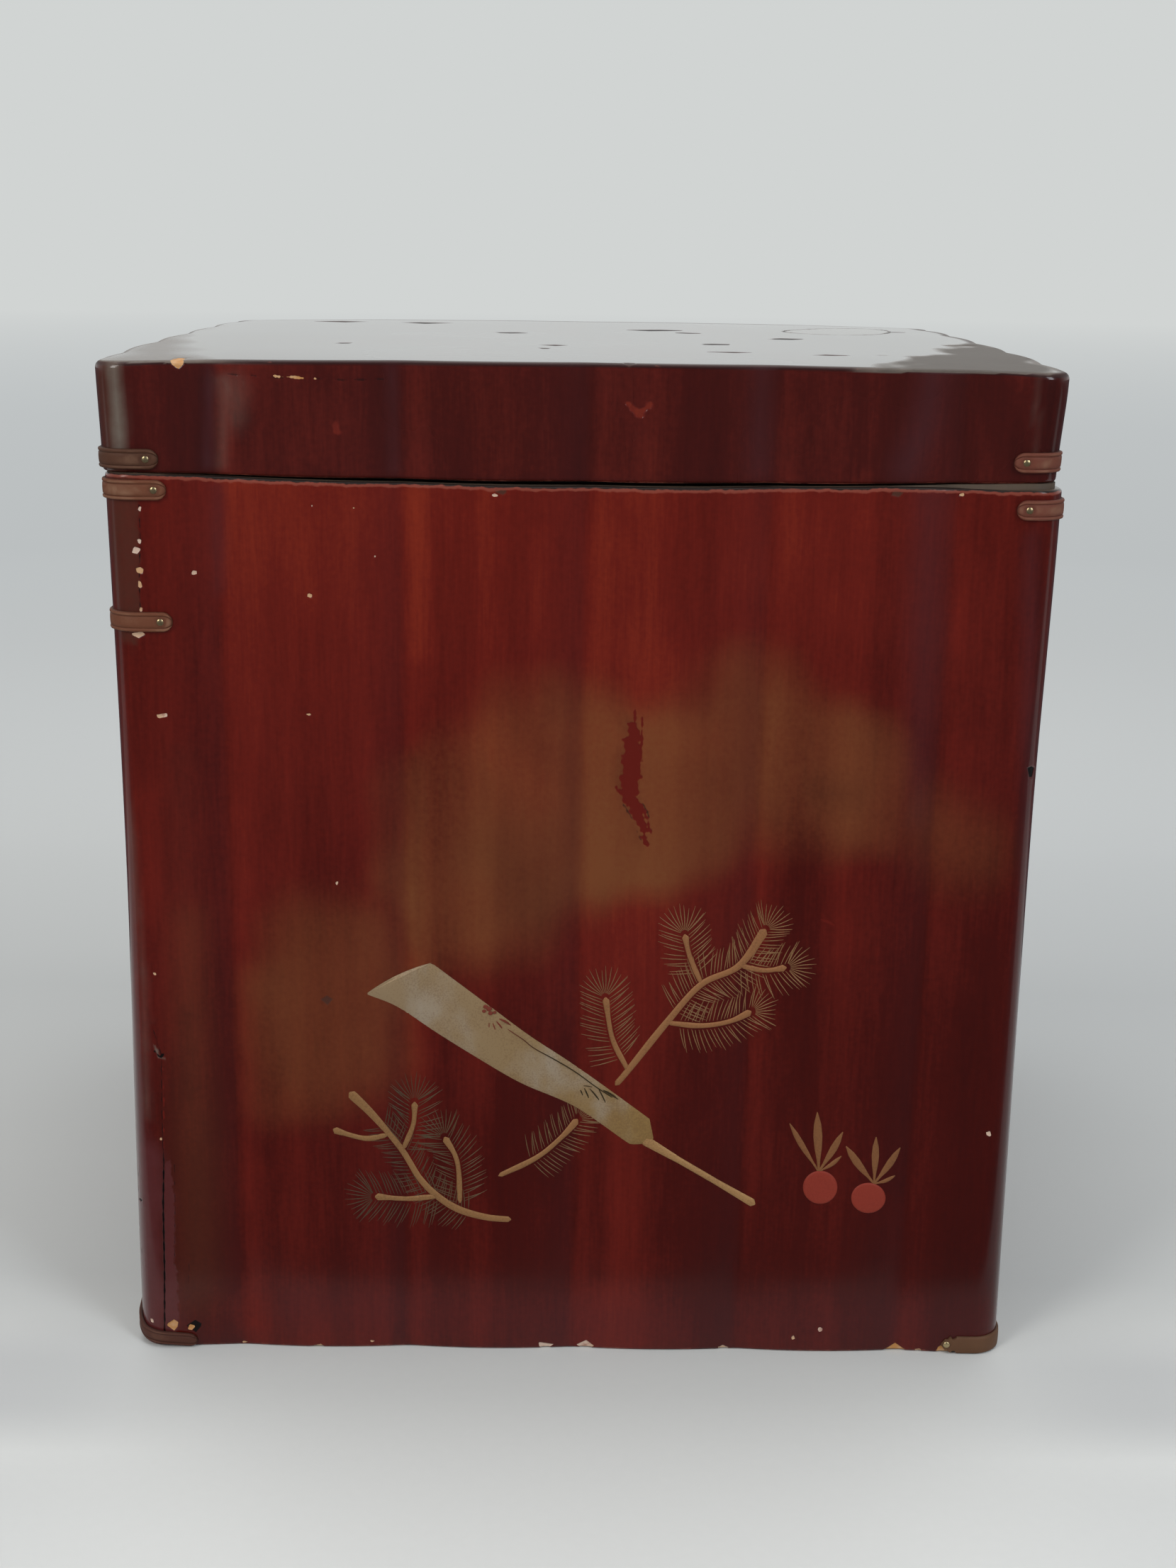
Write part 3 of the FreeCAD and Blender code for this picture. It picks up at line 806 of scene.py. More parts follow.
@dataclass(frozen=True)
class Mark:
    """A patch or trail of wear, or of painted light, shade and reflection, on one face.

    A trail follows its points with a half width at each, or one for all. A patch is a trail of
    one point, the area that the points close round when it is filled, or an angular flake when
    it has a size.
    """

    kind: str
    points: tuple[Pixel, ...]
    width: float | tuple[float, ...] = 1.0
    depth: float = 0.0
    soft: float = 0.5
    strength: float = 1.0
    ragged: float = 0.25
    filled: bool = False
    plane: Plane = Plane.FRONT
    seed: int = 1
    size: Pixel = (0.0, 0.0)

    @property
    def grain(self) -> float:
        """How fine the mesh must be to show the mark."""
        return 0.24 if self.kind == "crack" else 0.45

    def facets(self, flat: Array) -> Array:
        """Gives how far inside an angular flake of the mark's size points lie."""
        rng = random.Random(self.seed)
        away = flat - np.array(self.points[0])
        best = np.full(flat.shape[:-1], 1e9)
        for corner in range(6):
            turn = math.tau * (corner + rng.uniform(-0.35, 0.35)) / 6
            reach = math.hypot(self.size[0] * math.cos(turn), self.size[1] * math.sin(turn))
            line = away[..., 0] * math.cos(turn) + away[..., 1] * math.sin(turn)
            best = np.minimum(best, reach * rng.uniform(0.7, 1.15) - line)
        return best

    def signed(self, flat: Array) -> Array:
        """Gives how far inside the mark points lie, in millimetres, less than 0 outside."""
        if self.size[0] > 0:
            return self.facets(flat)
        marks = np.array(self.points, float)
        widths = np.resize(np.array(self.width, float), len(marks))
        if self.filled:
            marks = np.vstack([marks, marks[:1]])
            widths = np.zeros(len(marks))
        if len(marks) == 1:
            best = widths[0] - np.linalg.norm(flat - marks[0], axis=-1)
        else:
            best = np.full(flat.shape[:-1], -1e9)
        for start, end, w0, w1 in zip(marks[:-1], marks[1:], widths[:-1], widths[1:]):
            run = end - start
            share = np.clip(((flat - start) @ run) / max(run @ run, 1e-9), 0, 1)
            gap = np.linalg.norm(flat - start - share[..., None] * run, axis=-1)
            best = np.maximum(best, w0 + (w1 - w0) * share - gap)
        if self.filled:
            best = np.where(self._inside(flat, marks), -best, best)
        rng = random.Random(self.seed)
        wobble = np.zeros(flat.shape[:-1])
        for wave in (0.9, 1.7, 3.1):
            turn, phase = rng.uniform(0, math.tau), rng.uniform(0, math.tau)
            line = flat[..., 0] * math.cos(turn) + flat[..., 1] * math.sin(turn)
            wobble += np.sin(line * wave / max(self.soft, 0.6) + phase) * self.ragged / wave
        return best + wobble

    @staticmethod
    def _inside(flat: Array, ring: Array) -> Array:
        """Tells which points a closed ring goes round."""
        inside = np.zeros(flat.shape[:-1], bool)
        for (x0, y0), (x1, y1) in zip(ring[:-1], ring[1:]):
            if y0 == y1:
                continue
            crosses = (flat[..., 1] >= min(y0, y1)) & (flat[..., 1] < max(y0, y1))
            where = x0 + (flat[..., 1] - y0) * (x1 - x0) / (y1 - y0)
            inside ^= crosses & (flat[..., 0] < where)
        return inside

    def amount(self, points: Array) -> Array:
        """Gives how strongly the mark shows at points of the skin, from 0 to 1."""
        first, second, third, sign, shown, _ = self.plane.value
        value = ease(self.signed(points[..., [first, second]]), -self.soft, self.soft)
        return np.where(points[..., third] * sign > shown, value * self.strength, 0.0)


@dataclass
class Shell:
    """A lacquered covering: its skin as a grid, worn by marks and given painted light and shade."""

    skin: Skin
    marks: list[Mark]
    finish: Finish
    rounds: int = 4
    spare: float = 0.8

    def numbers(self, points: Array, edge: Array) -> dict[str, Array]:
        """Gives the numbers that the finish reads at points of the skin."""
        u = np.where(np.abs(points[..., 1]) > np.abs(points[..., 0]), points[..., 0], points[..., 1])
        u = u * np.where(points[..., 1] > np.abs(points[..., 0]), -1.0, 1.0)
        u = self.skin.drawn(u, points[..., 2], -points[..., 1] > np.abs(points[..., 0]))
        pitch = self.skin.pitch
        away = (u + pitch / 2) % pitch - pitch / 2
        # Painted light and shade across each flute: lighter right of a groove and darker left of it, as if
        # lit from the left.
        flute = np.tanh(away / 2.6) * np.exp(-np.abs(away) / np.where(away > 0, 13.0, 8.0))
        rule, crown = self.rule(points), self.crown(points)
        made = {"flute": flute, "edge": edge, "fall": self.fall(points) - 0.8 * rule, "crown": crown}
        made |= {kind: np.zeros(points.shape[:-1]) for kind in KINDS}
        for mark in self.marks:
            made[mark.kind] = np.maximum(made[mark.kind], mark.amount(points))
        made["dull"] = np.maximum(made["dull"], rule)
        made["ash"] = np.maximum(made["ash"], 0.2 * rule * crown)
        return made

    def rule(self, points: Array) -> Array:
        """Gives where a dark dull line follows the top edge."""
        return np.zeros(points.shape[:-1])

    def fall(self, points: Array) -> Array:
        """Gives how much paler or darker the lacquer is at points."""
        return np.zeros(points.shape[:-1])

    def crown(self, points: Array) -> Array:
        """Gives where the polished top lies."""
        return np.zeros(points.shape[:-1])

    def refine(self, made: bpy.types.Object) -> None:
        """Divides the mesh where small marks lie, and presses them in."""
        bm = bmesh.new()
        bm.from_mesh(made.data)
        small = [mark for mark in self.marks if mark.depth > 0]
        for _ in range(self.rounds):
            bm.edges.ensure_lookup_table()
            ends = np.array([[v.co[:] for v in edge.verts] for edge in bm.edges]) / MM
            middle = ends.mean(axis=1)
            length = np.linalg.norm(ends[:, 0] - ends[:, 1], axis=1)
            wanted = np.full(len(middle), np.inf)
            for mark in small:
                first, second, third, sign, _, divided = mark.plane.value
                near = mark.signed(middle[:, [first, second]]) > -mark.soft - length * self.spare
                near &= middle[:, third] * sign > divided
                wanted = np.where(near, np.minimum(wanted, mark.grain), wanted)
            chosen = [bm.edges[i] for i in np.nonzero(length > wanted)[0]]
            if not chosen:
                break
            bmesh.ops.subdivide_edges(bm, edges=chosen, cuts=1, use_grid_fill=True)
        bm.normal_update()
        bm.verts.ensure_lookup_table()
        points = np.array([v.co[:] for v in bm.verts]) / MM
        normals = np.array([v.normal[:] for v in bm.verts])
        press = np.zeros(len(points))
        for mark in small:
            press = np.maximum(press, mark.amount(points) * mark.depth)
        moved = (points - normals * press[:, None]) * MM
        for vertex, place in zip(bm.verts, moved.tolist()):
            vertex.co = place
        edge_layer = bm.verts.layers.float["edge"]
        edge = np.array([v[edge_layer] for v in bm.verts])
        for name, values in self.numbers(points, edge).items():
            layer = bm.verts.layers.float[name]
            for vertex, value in zip(bm.verts, values.tolist()):
                vertex[layer] = value
        bm.to_mesh(made.data)
        bm.free()


def arc_drop(u: Array, reach: float, drop: float) -> Array:
    """Gives the fall below its ends of a shallow arc between -reach and reach, drop at its middle."""
    radius = (reach**2 + drop**2) / (2 * drop)
    inside = np.clip(np.abs(u), 0, reach)
    return np.sqrt(radius**2 - inside**2) - (radius - drop)


@dataclass
class BodyShell(Shell):
    """The body's covering, from its foot to the hollow rim."""

    rim: float = 302.9
    hollow: float = 2.5
    reach: float = 139.75
    foot: float = 0.08
    board_half: float = 149.17
    row_step: float = 5.0
    rubbed: float = 1.8
    rubbed_from: tuple[float, float] = (92.0, 138.0)

    FEET = ((0.0, 0.9), (0.1, 0.4), (0.45, 0.1), (1.1, 0.0))
    TOPS = ((3.2, 0.0), (2.0, 0.0), (1.3, 0.0), (0.8, 0.1), (0.4, 0.32), (0.12, 0.75), (0.0, 1.3))
    WORN = ((0.0, 0.5, 1.5, 2.6), (1.0, 0.78, 0.45, 0.1))

    def crown(self, points: Array) -> Array:
        """Gives where handling has polished the corners."""
        x, y = np.abs(points[..., 0]), np.abs(points[..., 1])
        return 0.6 * ease(x, 146.8, 149.6) * ease(y, 133.0, 141.0)

    def fall(self, points: Array) -> Array:
        """Gives painted light and shade on the lacquer at points: painted shade darker low down, towards the
        corners and to the right, paler at the top, and a painted reflection paler in a band at the foot.
        """
        aside = np.minimum(np.abs(points[..., 0]), np.abs(points[..., 1])) / self.skin.half
        z = points[..., 2]
        rise = 0.34 * (z / self.rim - 0.52) + 0.14 * (1 - ease(z, 12.0, 30.0))
        return rise - 0.22 * aside**2 - 0.00035 * points[..., 0]

    def build(self) -> None:
        """Makes the covering in place of its CAD node."""
        side, u, angle = self.skin.loop()
        rim = self.rim - np.where(angle > 0, 0.0, arc_drop(u, self.reach, self.hollow))
        toward = np.where(side == 0, u, np.where(side == 1, -u, -self.skin.half))
        rim = rim - self.rubbed * ease(toward, *self.rubbed_from)
        rows, edges = [], []
        for rise, inset in self.FEET:
            rows.append(self.skin.point(side, u, angle, self.foot + rise, -inset))
            edges.append(np.full_like(u, 0.50 - 0.22 * rise))
        for level in np.arange(self.foot + 3.0, self.rim - 6.0, self.row_step):
            share = (level - self.foot) / (self.rim - self.foot)
            rows.append(self.skin.point(side, u, angle, self.foot + share * (rim - self.foot)))
            edges.append(np.zeros_like(u))
        # Painted shadow under the lid: in the middle of each wall the rim's top and inner face take the
        # shade colour; towards the corners they show the grey ground.
        grey = np.where(angle > 0, 1.0, ease(np.abs(u), 118.0, 140.0))
        for drop, inset in self.TOPS:
            rows.append(self.skin.point(side, u, angle, rim - drop, -inset))
            worn = float(np.interp(drop, *self.WORN))
            edges.append(worn + grey * (0.8 if drop < 0.3 else 0.0))
        inner = Skin(self.board_half, STRAIGHT, soft=0.3)
        for level in (rim - 0.02, self.foot):
            rows.append(inner.point(side, u * inner.flat / self.skin.flat, angle, level))
            edges.append(0.9 + 0.9 * grey)
        maker = MeshMaker()
        grid = np.array(rows)
        indices = maker.add(grid, **self.numbers(grid, np.array(edges)))
        maker.quads(np.vstack([indices, indices[:1]]), wrap=True)
        made = maker.make("body_red_lacquer", self.finish, "red_lacquer", "body")
        self.refine(made)
        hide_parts("body_covering")


@dataclass
class LidShell(Shell):
    """The lid's covering: flaring sides, a soft upper edge and a slightly warped top."""

    foot: float = 302.9
    belly: float = 1.3
    reach: float = 138.25
    top: float = 338.45
    sink: float = 1.35
    round: float = 1.6
    corner_round: float = 0.7
    board_half: float = 148.22
    board_top: float = 336.92

    FEET = ((0.0, 1.3), (0.1, 0.75), (0.4, 0.28), (0.9, 0.06), (1.5, 0.0), (3.0, 0.0))
    WORN = ((0.0, 0.5, 1.5), (0.52, 0.3, 0.0))

    def fall(self, points: Array) -> Array:
        """Gives how much darker the lid's lacquer is."""
        return -0.16 - 0.3 * self.crown(points)

    def crown(self, points: Array) -> Array:
        """Gives where the polished top lies."""
        return ease(points[..., 2] - self.height(points[..., 0], points[..., 1]), -0.24, -0.05)

    def rule(self, points: Array) -> Array:
        """Gives where a dark dull line follows the top edge."""
        drop = self.height(points[..., 0], points[..., 1]) - points[..., 2]
        line = ease(drop, 0.04, 0.2) * (1 - ease(drop, 0.7, 1.3))
        x, y = points[..., 0] - self.skin.shift, points[..., 1]
        deep = self.skin.half - self.skin.depth(x) - np.abs(y)
        wide = self.skin.half + 1.5 - self.skin.depth(y) - np.abs(x)
        inside = np.minimum(deep, wide) - self.round
        reach = 2.6 + 6.0 * ease(y, 100.0, 140.0)
        border = 0.9 * (1 - ease(inside / reach, 0.08, 1.0))
        border = np.maximum(border, 0.14 * ease(np.abs(x), 50.0, 125.0))
        return np.maximum(line, np.where(drop < 0.3, border, 0.0))

    def height(self, x: Array, y: Array) -> Array:
        """Gives the top's height, which sinks towards the corners."""
        across = np.clip(np.abs(x - self.skin.shift) / self.skin.half, 0, 1)
        deep = np.clip(np.abs(y) / self.skin.half, 0, 1)
        return self.top - self.sink * (across * deep) ** 3 - 0.25 * np.maximum(across, deep) ** 6

    def build(self) -> None:
        """Makes the covering in place of its CAD node."""
        side, u, angle = self.skin.loop()
        foot = self.foot - np.where(angle > 0, 0.0, arc_drop(u, self.reach, self.belly))
        inner = Skin(self.board_half, STRAIGHT, self.skin.shift, soft=0.3)
        rows, edges = [], []
        for level in (self.board_top, foot):
            rows.append(inner.point(side, u * inner.flat / self.skin.flat, angle, level))
            edges.append(np.full_like(u, 0.5))
        for rise, inset in self.FEET:
            rows.append(self.skin.point(side, u, angle, foot + rise, -inset))
            edges.append(np.full_like(u, float(np.interp(rise, *self.WORN))))
        crown = self.skin.point(side, u, angle, self.top)
        ceiling = self.height(crown[:, 0], crown[:, 1])
        bend = self.round + self.corner_round * np.where(angle > 0, 1.0, ease(np.abs(u), 126.0, 140.0))
        for share in np.linspace(0.16, 1.0, 8):
            rows.append(self.skin.point(side, u, angle, foot + share * (ceiling - bend - foot)))
            edges.append(np.zeros_like(u))
        for turn in np.linspace(0.2, 1.0, 5) * math.pi / 2:
            level = ceiling - bend * (1 - math.sin(turn))
            rows.append(self.skin.point(side, u, angle, level, -bend * (1 - math.cos(turn))))
            edges.append(np.full_like(u, 0.28 * math.sin(turn * 2)))
        maker = MeshMaker()
        grid = np.array(rows)
        indices = maker.add(grid, **self.numbers(grid, np.array(edges)))
        maker.quads(indices, wrap=True)
        maker.cap(indices[0])
        self._crown(maker, indices[-1], grid[-1])
        made = maker.make("lid_red_lacquer", self.finish, "red_lacquer", "lid")
        self.refine(made)
        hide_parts("lid_covering")

    def _crown(self, maker: MeshMaker, ring: Array, points: Array) -> None:
        """Fills the top with a grid between the last row's four runs, from mid-corner to mid-corner.

        Args:
            maker: The mesh under construction.
            ring: The indices of the row that the top starts from.
            points: Its points.
        """
        count = len(ring) // 4
        turned = np.roll(np.arange(len(ring)), self.skin.bend_steps // 2)
        runs = [turned[np.arange(k * count, (k + 1) * count + 1) % len(ring)] for k in range(4)]
        south, east, north, west = runs[0], runs[1], runs[2][::-1], runs[3][::-1]
        i = np.linspace(0, 1, count + 1)[:, None, None]
        j = np.linspace(0, 1, count + 1)[None, :, None]
        bottom, upper, left, right = (points[run] for run in (south, north, west, east))
        patch = (1 - i) * bottom[None] + i * upper[None] + (1 - j) * left[:, None] + j * right[:, None]
        patch = patch - (1 - i) * (1 - j) * bottom[0] - (1 - i) * j * bottom[-1]
        patch = patch - i * (1 - j) * upper[0] - i * j * upper[-1]
        inner = patch[1:-1, 1:-1]
        inner[..., 2] = self.height(inner[..., 0], inner[..., 1])
        indices = np.empty((count + 1, count + 1), int)
        indices[0], indices[-1] = ring[south], ring[north]
        indices[:, 0], indices[:, -1] = ring[west], ring[east]
        indices[1:-1, 1:-1] = maker.add(inner, **self.numbers(inner, np.zeros(inner.shape[:-1])))
        maker.quads(indices)


@dataclass(frozen=True)
class Strap:
    """One leather strap round a corner, nailed at both ends."""

    node: str
    corner: int
    level: float
    legs: tuple[float, float]
    body: str = "body"
    nails: tuple[bool, bool] = (True, True)
    drift: tuple[float, float, float] = (0.0, 0.0, 0.0)
    slack: float = 0.0
    torn: bool = False
    width: float = 6.4
    tip: float = 3.3
    nail_inset: float = 3.9
    dent: float = 0.3
    gap: float = 0.03
    lowest: float = 0.12

    PROFILE = (
        (-1.0, 0.0), (-0.985, 0.5), (-0.93, 0.86), (-0.82, 1.02), (-0.69, 0.98), (-0.6, 0.68),
        (-0.51, 0.92), (-0.25, 0.98), (0.0, 1.0), (0.25, 0.98), (0.51, 0.92), (0.6, 0.68),
        (0.69, 0.98), (0.82, 1.02), (0.93, 0.86), (0.985, 0.5), (1.0, 0.0),
    )
    FLAT = (
        (-1.0, 0.0), (-0.985, 0.4), (-0.9, 0.74), (-0.6, 0.82), (0.0, 0.86),
        (0.6, 0.82), (0.9, 0.74), (0.985, 0.4), (1.0, 0.0),
    )

    def ends(self, skin: Skin) -> tuple[float, float]:
        """Gives the distances of both ends from the corner's middle."""
        bend = skin.corner * math.pi / 4
        return skin.corner - bend - self.legs[0], self.legs[1] - skin.corner + bend

    def middle(self, distance: Array, start: float, end: float) -> Array:
        """Gives the strap's height along it."""
        share = (distance - start) / (end - start)
        return self.level + np.interp(share, [0.0, 0.5, 1.0], self.drift)

    def build(self, skin: Skin, maker: MeshMaker, nails: "Nails") -> None:
        """Adds the strap's mesh and its nails.

        Args:
            skin: The covering under the strap.
            maker: Where the strap's mesh goes.
            nails: Where its nails go.
        """
        start, end = self.ends(skin)
        distance = np.unique(np.concatenate([
            start + np.array([0.0, 0.05, 0.2, 0.5]),
            np.arange(start + 0.9, start + 8.0, 0.45),
            np.arange(start + 8.0, end - 8.0, 0.9),
            np.arange(end - 8.0, end - 0.9, 0.45),
            end - np.array([0.5, 0.2, 0.05, 0.0]),
        ]))
        profile = np.array(self.FLAT if self.torn else self.PROFILE)
        far = np.minimum(distance - start, end - distance)
        blunt = 1 - (1 - np.clip(far / self.tip, 0, 1)) ** 2.0
        taper = np.sqrt(np.maximum(blunt, 0.0)) * 0.97 + 0.03
        if self.torn:
            torn = 0.74 + 0.26 * np.sin(distance * 2.3) * np.sin(distance * 1.1)
            taper = np.where(distance - start < 5.0, taper * torn, taper)
        across = profile[None, :, 0] * taper[:, None] * self.width / 2
        thick = profile[None, :, 1] * (0.35 + 0.65 * np.clip(far / 0.6, 0, 1))[:, None]
        seats = [start + self.nail_inset * (0.5 if self.torn else 1.0), end - self.nail_inset]
        for seat, there in zip(seats, self.nails):
            if there:
                near = np.hypot(distance[:, None] - seat, across)
                thick = thick - self.dent * (1 - ease(near, 1.1, 2.3)) * (thick > self.dent)
        z = np.maximum(self.middle(distance, start, end)[:, None] + across, self.lowest)
        loose = self.slack * np.exp(-((distance[:, None] - end * 0.35) / 9.0) ** 2)
        side, u, angle = (part[:, None] for part in skin.walk(self.corner, distance))
        upper = skin.point(side, u, angle, z, thick * 1.06 + self.gap + loose)
        lower = skin.point(side, u, angle, z[:, [-1, 0]], self.gap + loose)
        rings = np.concatenate([upper, lower], axis=1)
        raised = np.concatenate([thick, np.full((len(distance), 2), 0.4)], axis=1)
        maker.loft(rings, **{"raise": raised})
        for seat, there in zip(seats, self.nails):
            if there:
                level = self.middle(np.array(seat), start, end)
                nails.add(skin, skin.walk(self.corner, np.array(seat)), float(level), self.body)


@dataclass
class Nails:
    """Domed brass nail heads, gathered by the body that carries them."""

    radius: float = 1.2
    height: float = 0.5
    seat: float = 0.6
    makers: dict[str, MeshMaker] = field(default_factory=dict)

    DOME = ((0.98, -0.3), (1.0, 0.0), (0.985, 0.16), (0.9, 0.42), (0.72, 0.68), (0.45, 0.9), (0.15, 0.99))

    def add(self, skin: Skin, station: tuple[Array, Array, Array], level: float, body: str) -> None:
        """Adds one head at a station of a skin."""
        side, u, angle = station
        base = skin.point(side, u, angle, level, self.seat)
        outer = skin.point(side, u, angle, level, self.seat + 1.0)
        normal = (outer - base) / np.linalg.norm(outer - base)
        across = np.cross(normal, (0.0, 0.0, 1.0))
        rise = np.cross(across, normal)
        turns = np.linspace(0, math.tau, 20, endpoint=False)
        ring = np.cos(turns)[:, None] * across + np.sin(turns)[:, None] * rise
        rings = [base + ring * r * self.radius + normal * h * self.height for r, h in self.DOME]
        self.makers.setdefault(body, MeshMaker()).loft(np.array(rings))

    def build(self, finish: Finish) -> None:
        """Makes the nails of each body in place of their CAD nodes."""
        for body, maker in self.makers.items():
            made = maker.make(f"{body}_brass_nails", finish, "nail_brass", body)
            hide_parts(f"{body}_nails")


@dataclass
class StrapSet:
    """All thirteen straps and their nails."""

    body_skin: Skin
    lid_skin: Skin
    left_leg: float = 20.6
    right_leg: float = 15.4
    lid_left_leg: float = 19.2

    CORNERS = ("front_right", "back_right", "back_left", "front_left")
    OWN = {
        "front_left_lid_strap": "lid",
        "front_left_foot_strap": "foot",
        "front_right_foot_strap": "torn",
    }

    def straps(self) -> list[Strap]:
        """Lists the straps by the CAD nodes that they stand for."""
        made = []
        for corner, name in enumerate(self.CORNERS):
            left = name.endswith("left")
            leg = self.left_leg if left else self.right_leg
            made.append(Strap(f"{name}_rim_strap", corner, 297.8 if left else 294.8, (leg, leg)))
            lid_level = 307.2 if left else 309.4
            lid_leg = self.lid_left_leg if left else leg
            made.append(Strap(f"{name}_lid_strap", corner, lid_level, (lid_leg, lid_leg), body="lid"))
            if name == "front_left":
                made.append(Strap(
                    f"{name}_foot_strap", corner, 8.2, (leg, leg), nails=(True, False),
                    drift=(5.0, -3.8, -5.75), slack=0.4, width=4.7,
                ))
            else:
                torn = name == "front_right"
                legs = (leg + 5.5 if torn else leg, leg)
                made.append(Strap(f"{name}_foot_strap", corner, 3.4 if torn else 4.2, legs, torn=torn))
        made.append(Strap("front_left_middle_strap", 3, 256.1, (self.left_leg, self.left_leg)))
        return made

    def build(self, leather: Mapping[str, Finish], brass: Finish) -> None:
        """Makes the straps and nails.

        Args:
            leather: The leathers of the left and right straps, and of three straps of their own.
            brass: The nails' finish.
        """
        nails = Nails()
        for strap in self.straps():
            skin = self.lid_skin if strap.body == "lid" else self.body_skin
            maker = MeshMaker()
            strap.build(skin, maker, nails)
            finish = leather[self.OWN.get(strap.node, strap.node.split("_")[1])]
            made = maker.make(f"{strap.node}_leather", finish, "strap_leather", strap.body)
            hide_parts(strap.node)
        nails.build(brass)


@dataclass
class Relief:
    """Thin raised shapes on the front wall, drawn in the photograph's pixels."""

    camera: PhotoCamera
    skin: Skin

    def lift(self, pixels: Array, out: Array) -> Array:
        """Gives points over pixels that stand out from the wall by so many millimetres."""
        flat = self.camera.on_front(self.skin, pixels)
        y = self.skin.front_y(flat[..., 0], flat[..., 1])
        return np.stack([flat[..., 0], y - out, flat[..., 1]], axis=-1)

    def slab(self, maker: MeshMaker, rows: Array, height: float) -> None:
        """Adds a raised shape of which rows are the pixels from one side to the other."""
        count = rows.shape[1]
        place = np.linspace(-1, 1, count)
        bulge = 1 - np.abs(place) ** 5
        far = np.minimum(np.arange(len(rows)), np.arange(len(rows))[::-1])
        ends = np.clip((far + 0.25) / 1.5, 0, 1)
        top = self.lift(rows, height * bulge[None] * ends[:, None] - 0.03 * (1 - bulge[None]))
        under = self.lift(rows[:, [-1, 0]], np.full((len(rows), 2), -0.12))
        maker.loft(np.concatenate([top, under], axis=1))

    def stroke(
        self,
        maker: MeshMaker,
        path: Sequence[Pixel],
        widths: Sequence[float],
        height: float,
        across: int = 6,
        step: float = 4.0,
        blunt: bool = True,
    ) -> None:
        """Adds a brush stroke.

        Args:
            maker: The mesh under construction.
            path: The pixels that the stroke goes through.
            widths: Its full widths along it, evenly spaced, in pixels.
            height: How far it stands out, in millimetres.
            across: How many points it has from side to side.
            step: How far apart its sections are, in pixels.
            blunt: Whether its ends are round and not pointed.
        """
        line = smooth_path(np.array(path, float), step)
        tangent = np.gradient(line, axis=0)
        tangent /= np.linalg.norm(tangent, axis=1, keepdims=True)
        sideways = np.stack([-tangent[:, 1], tangent[:, 0]], axis=1)
        run = run_along(line)
        width = np.interp(run / run[-1], np.linspace(0, 1, len(widths)), widths)
        if blunt:
            near = np.clip(np.minimum(run, run[-1] - run) / (0.5 * np.maximum(width, 1.0)), 0, 1)
            width = width * np.maximum(np.sqrt(1 - (1 - near) ** 2), 0.2)
        offsets = np.linspace(-0.5, 0.5, across)
        rows = line[:, None] + sideways[:, None] * (width[:, None] * offsets[None])[..., None]
        self.slab(maker, rows, height)

    def disc(self, maker: MeshMaker, centre: Pixel, radii: Pixel, height: float) -> None:
        """Adds a low dome round a pixel."""
        turns = np.linspace(0, math.tau, 40, endpoint=False)
        rim = np.stack([np.cos(turns) * radii[0], np.sin(turns) * radii[1]], axis=1)
        shares = [1.0, 0.97, 0.9, 0.75, 0.5, 0.2]
        rises = [-0.1, 0.55, 0.85, 0.97, 1.0, 1.0]
        rings = [
            self.lift(np.array(centre) + rim * share, np.full(len(turns), height * rise))
            for share, rise in zip(shares, rises)
        ]
        maker.loft(np.array(rings))


def run_along(line: Array) -> Array:
    """Gives how far along a line each of its points lies."""
    return np.concatenate([[0.0], np.cumsum(np.linalg.norm(np.diff(line, axis=0), axis=1))])


def smooth_path(points: Array, step: float) -> Array:
    """Gives points about a step apart on a smooth curve through some others."""
    if len(points) == 2:
        count = max(3, int(np.linalg.norm(points[1] - points[0]) / step) + 1)
        share = np.linspace(0, 1, count)[:, None]
        return points[0] * (1 - share) + points[1] * share
    padded = np.vstack([2 * points[0] - points[1], points, 2 * points[-1] - points[-2]])
    made = []
    for p0, p1, p2, p3 in zip(padded[:-3], padded[1:-2], padded[2:-1], padded[3:]):
        count = max(2, int(np.linalg.norm(p2 - p1) / step))
        for t in np.linspace(0, 1, count, endpoint=False):
            made.append(0.5 * (
                2 * p1 + (p2 - p0) * t + (2 * p0 - 5 * p1 + 4 * p2 - p3) * t * t
                + (3 * p1 - p0 - 3 * p2 + p3) * t**3
            ))
    made.append(points[-1])
    return np.array(made)


@dataclass(frozen=True)
class Spray:
    """A pine twig in photo pixels, with the stretch of it that bears needles."""

    path: tuple[Pixel, ...]
    width: float = 8
    bare: float = 0.0
    needle: float = 36
    fan: bool = True
    stop: float = 1.0


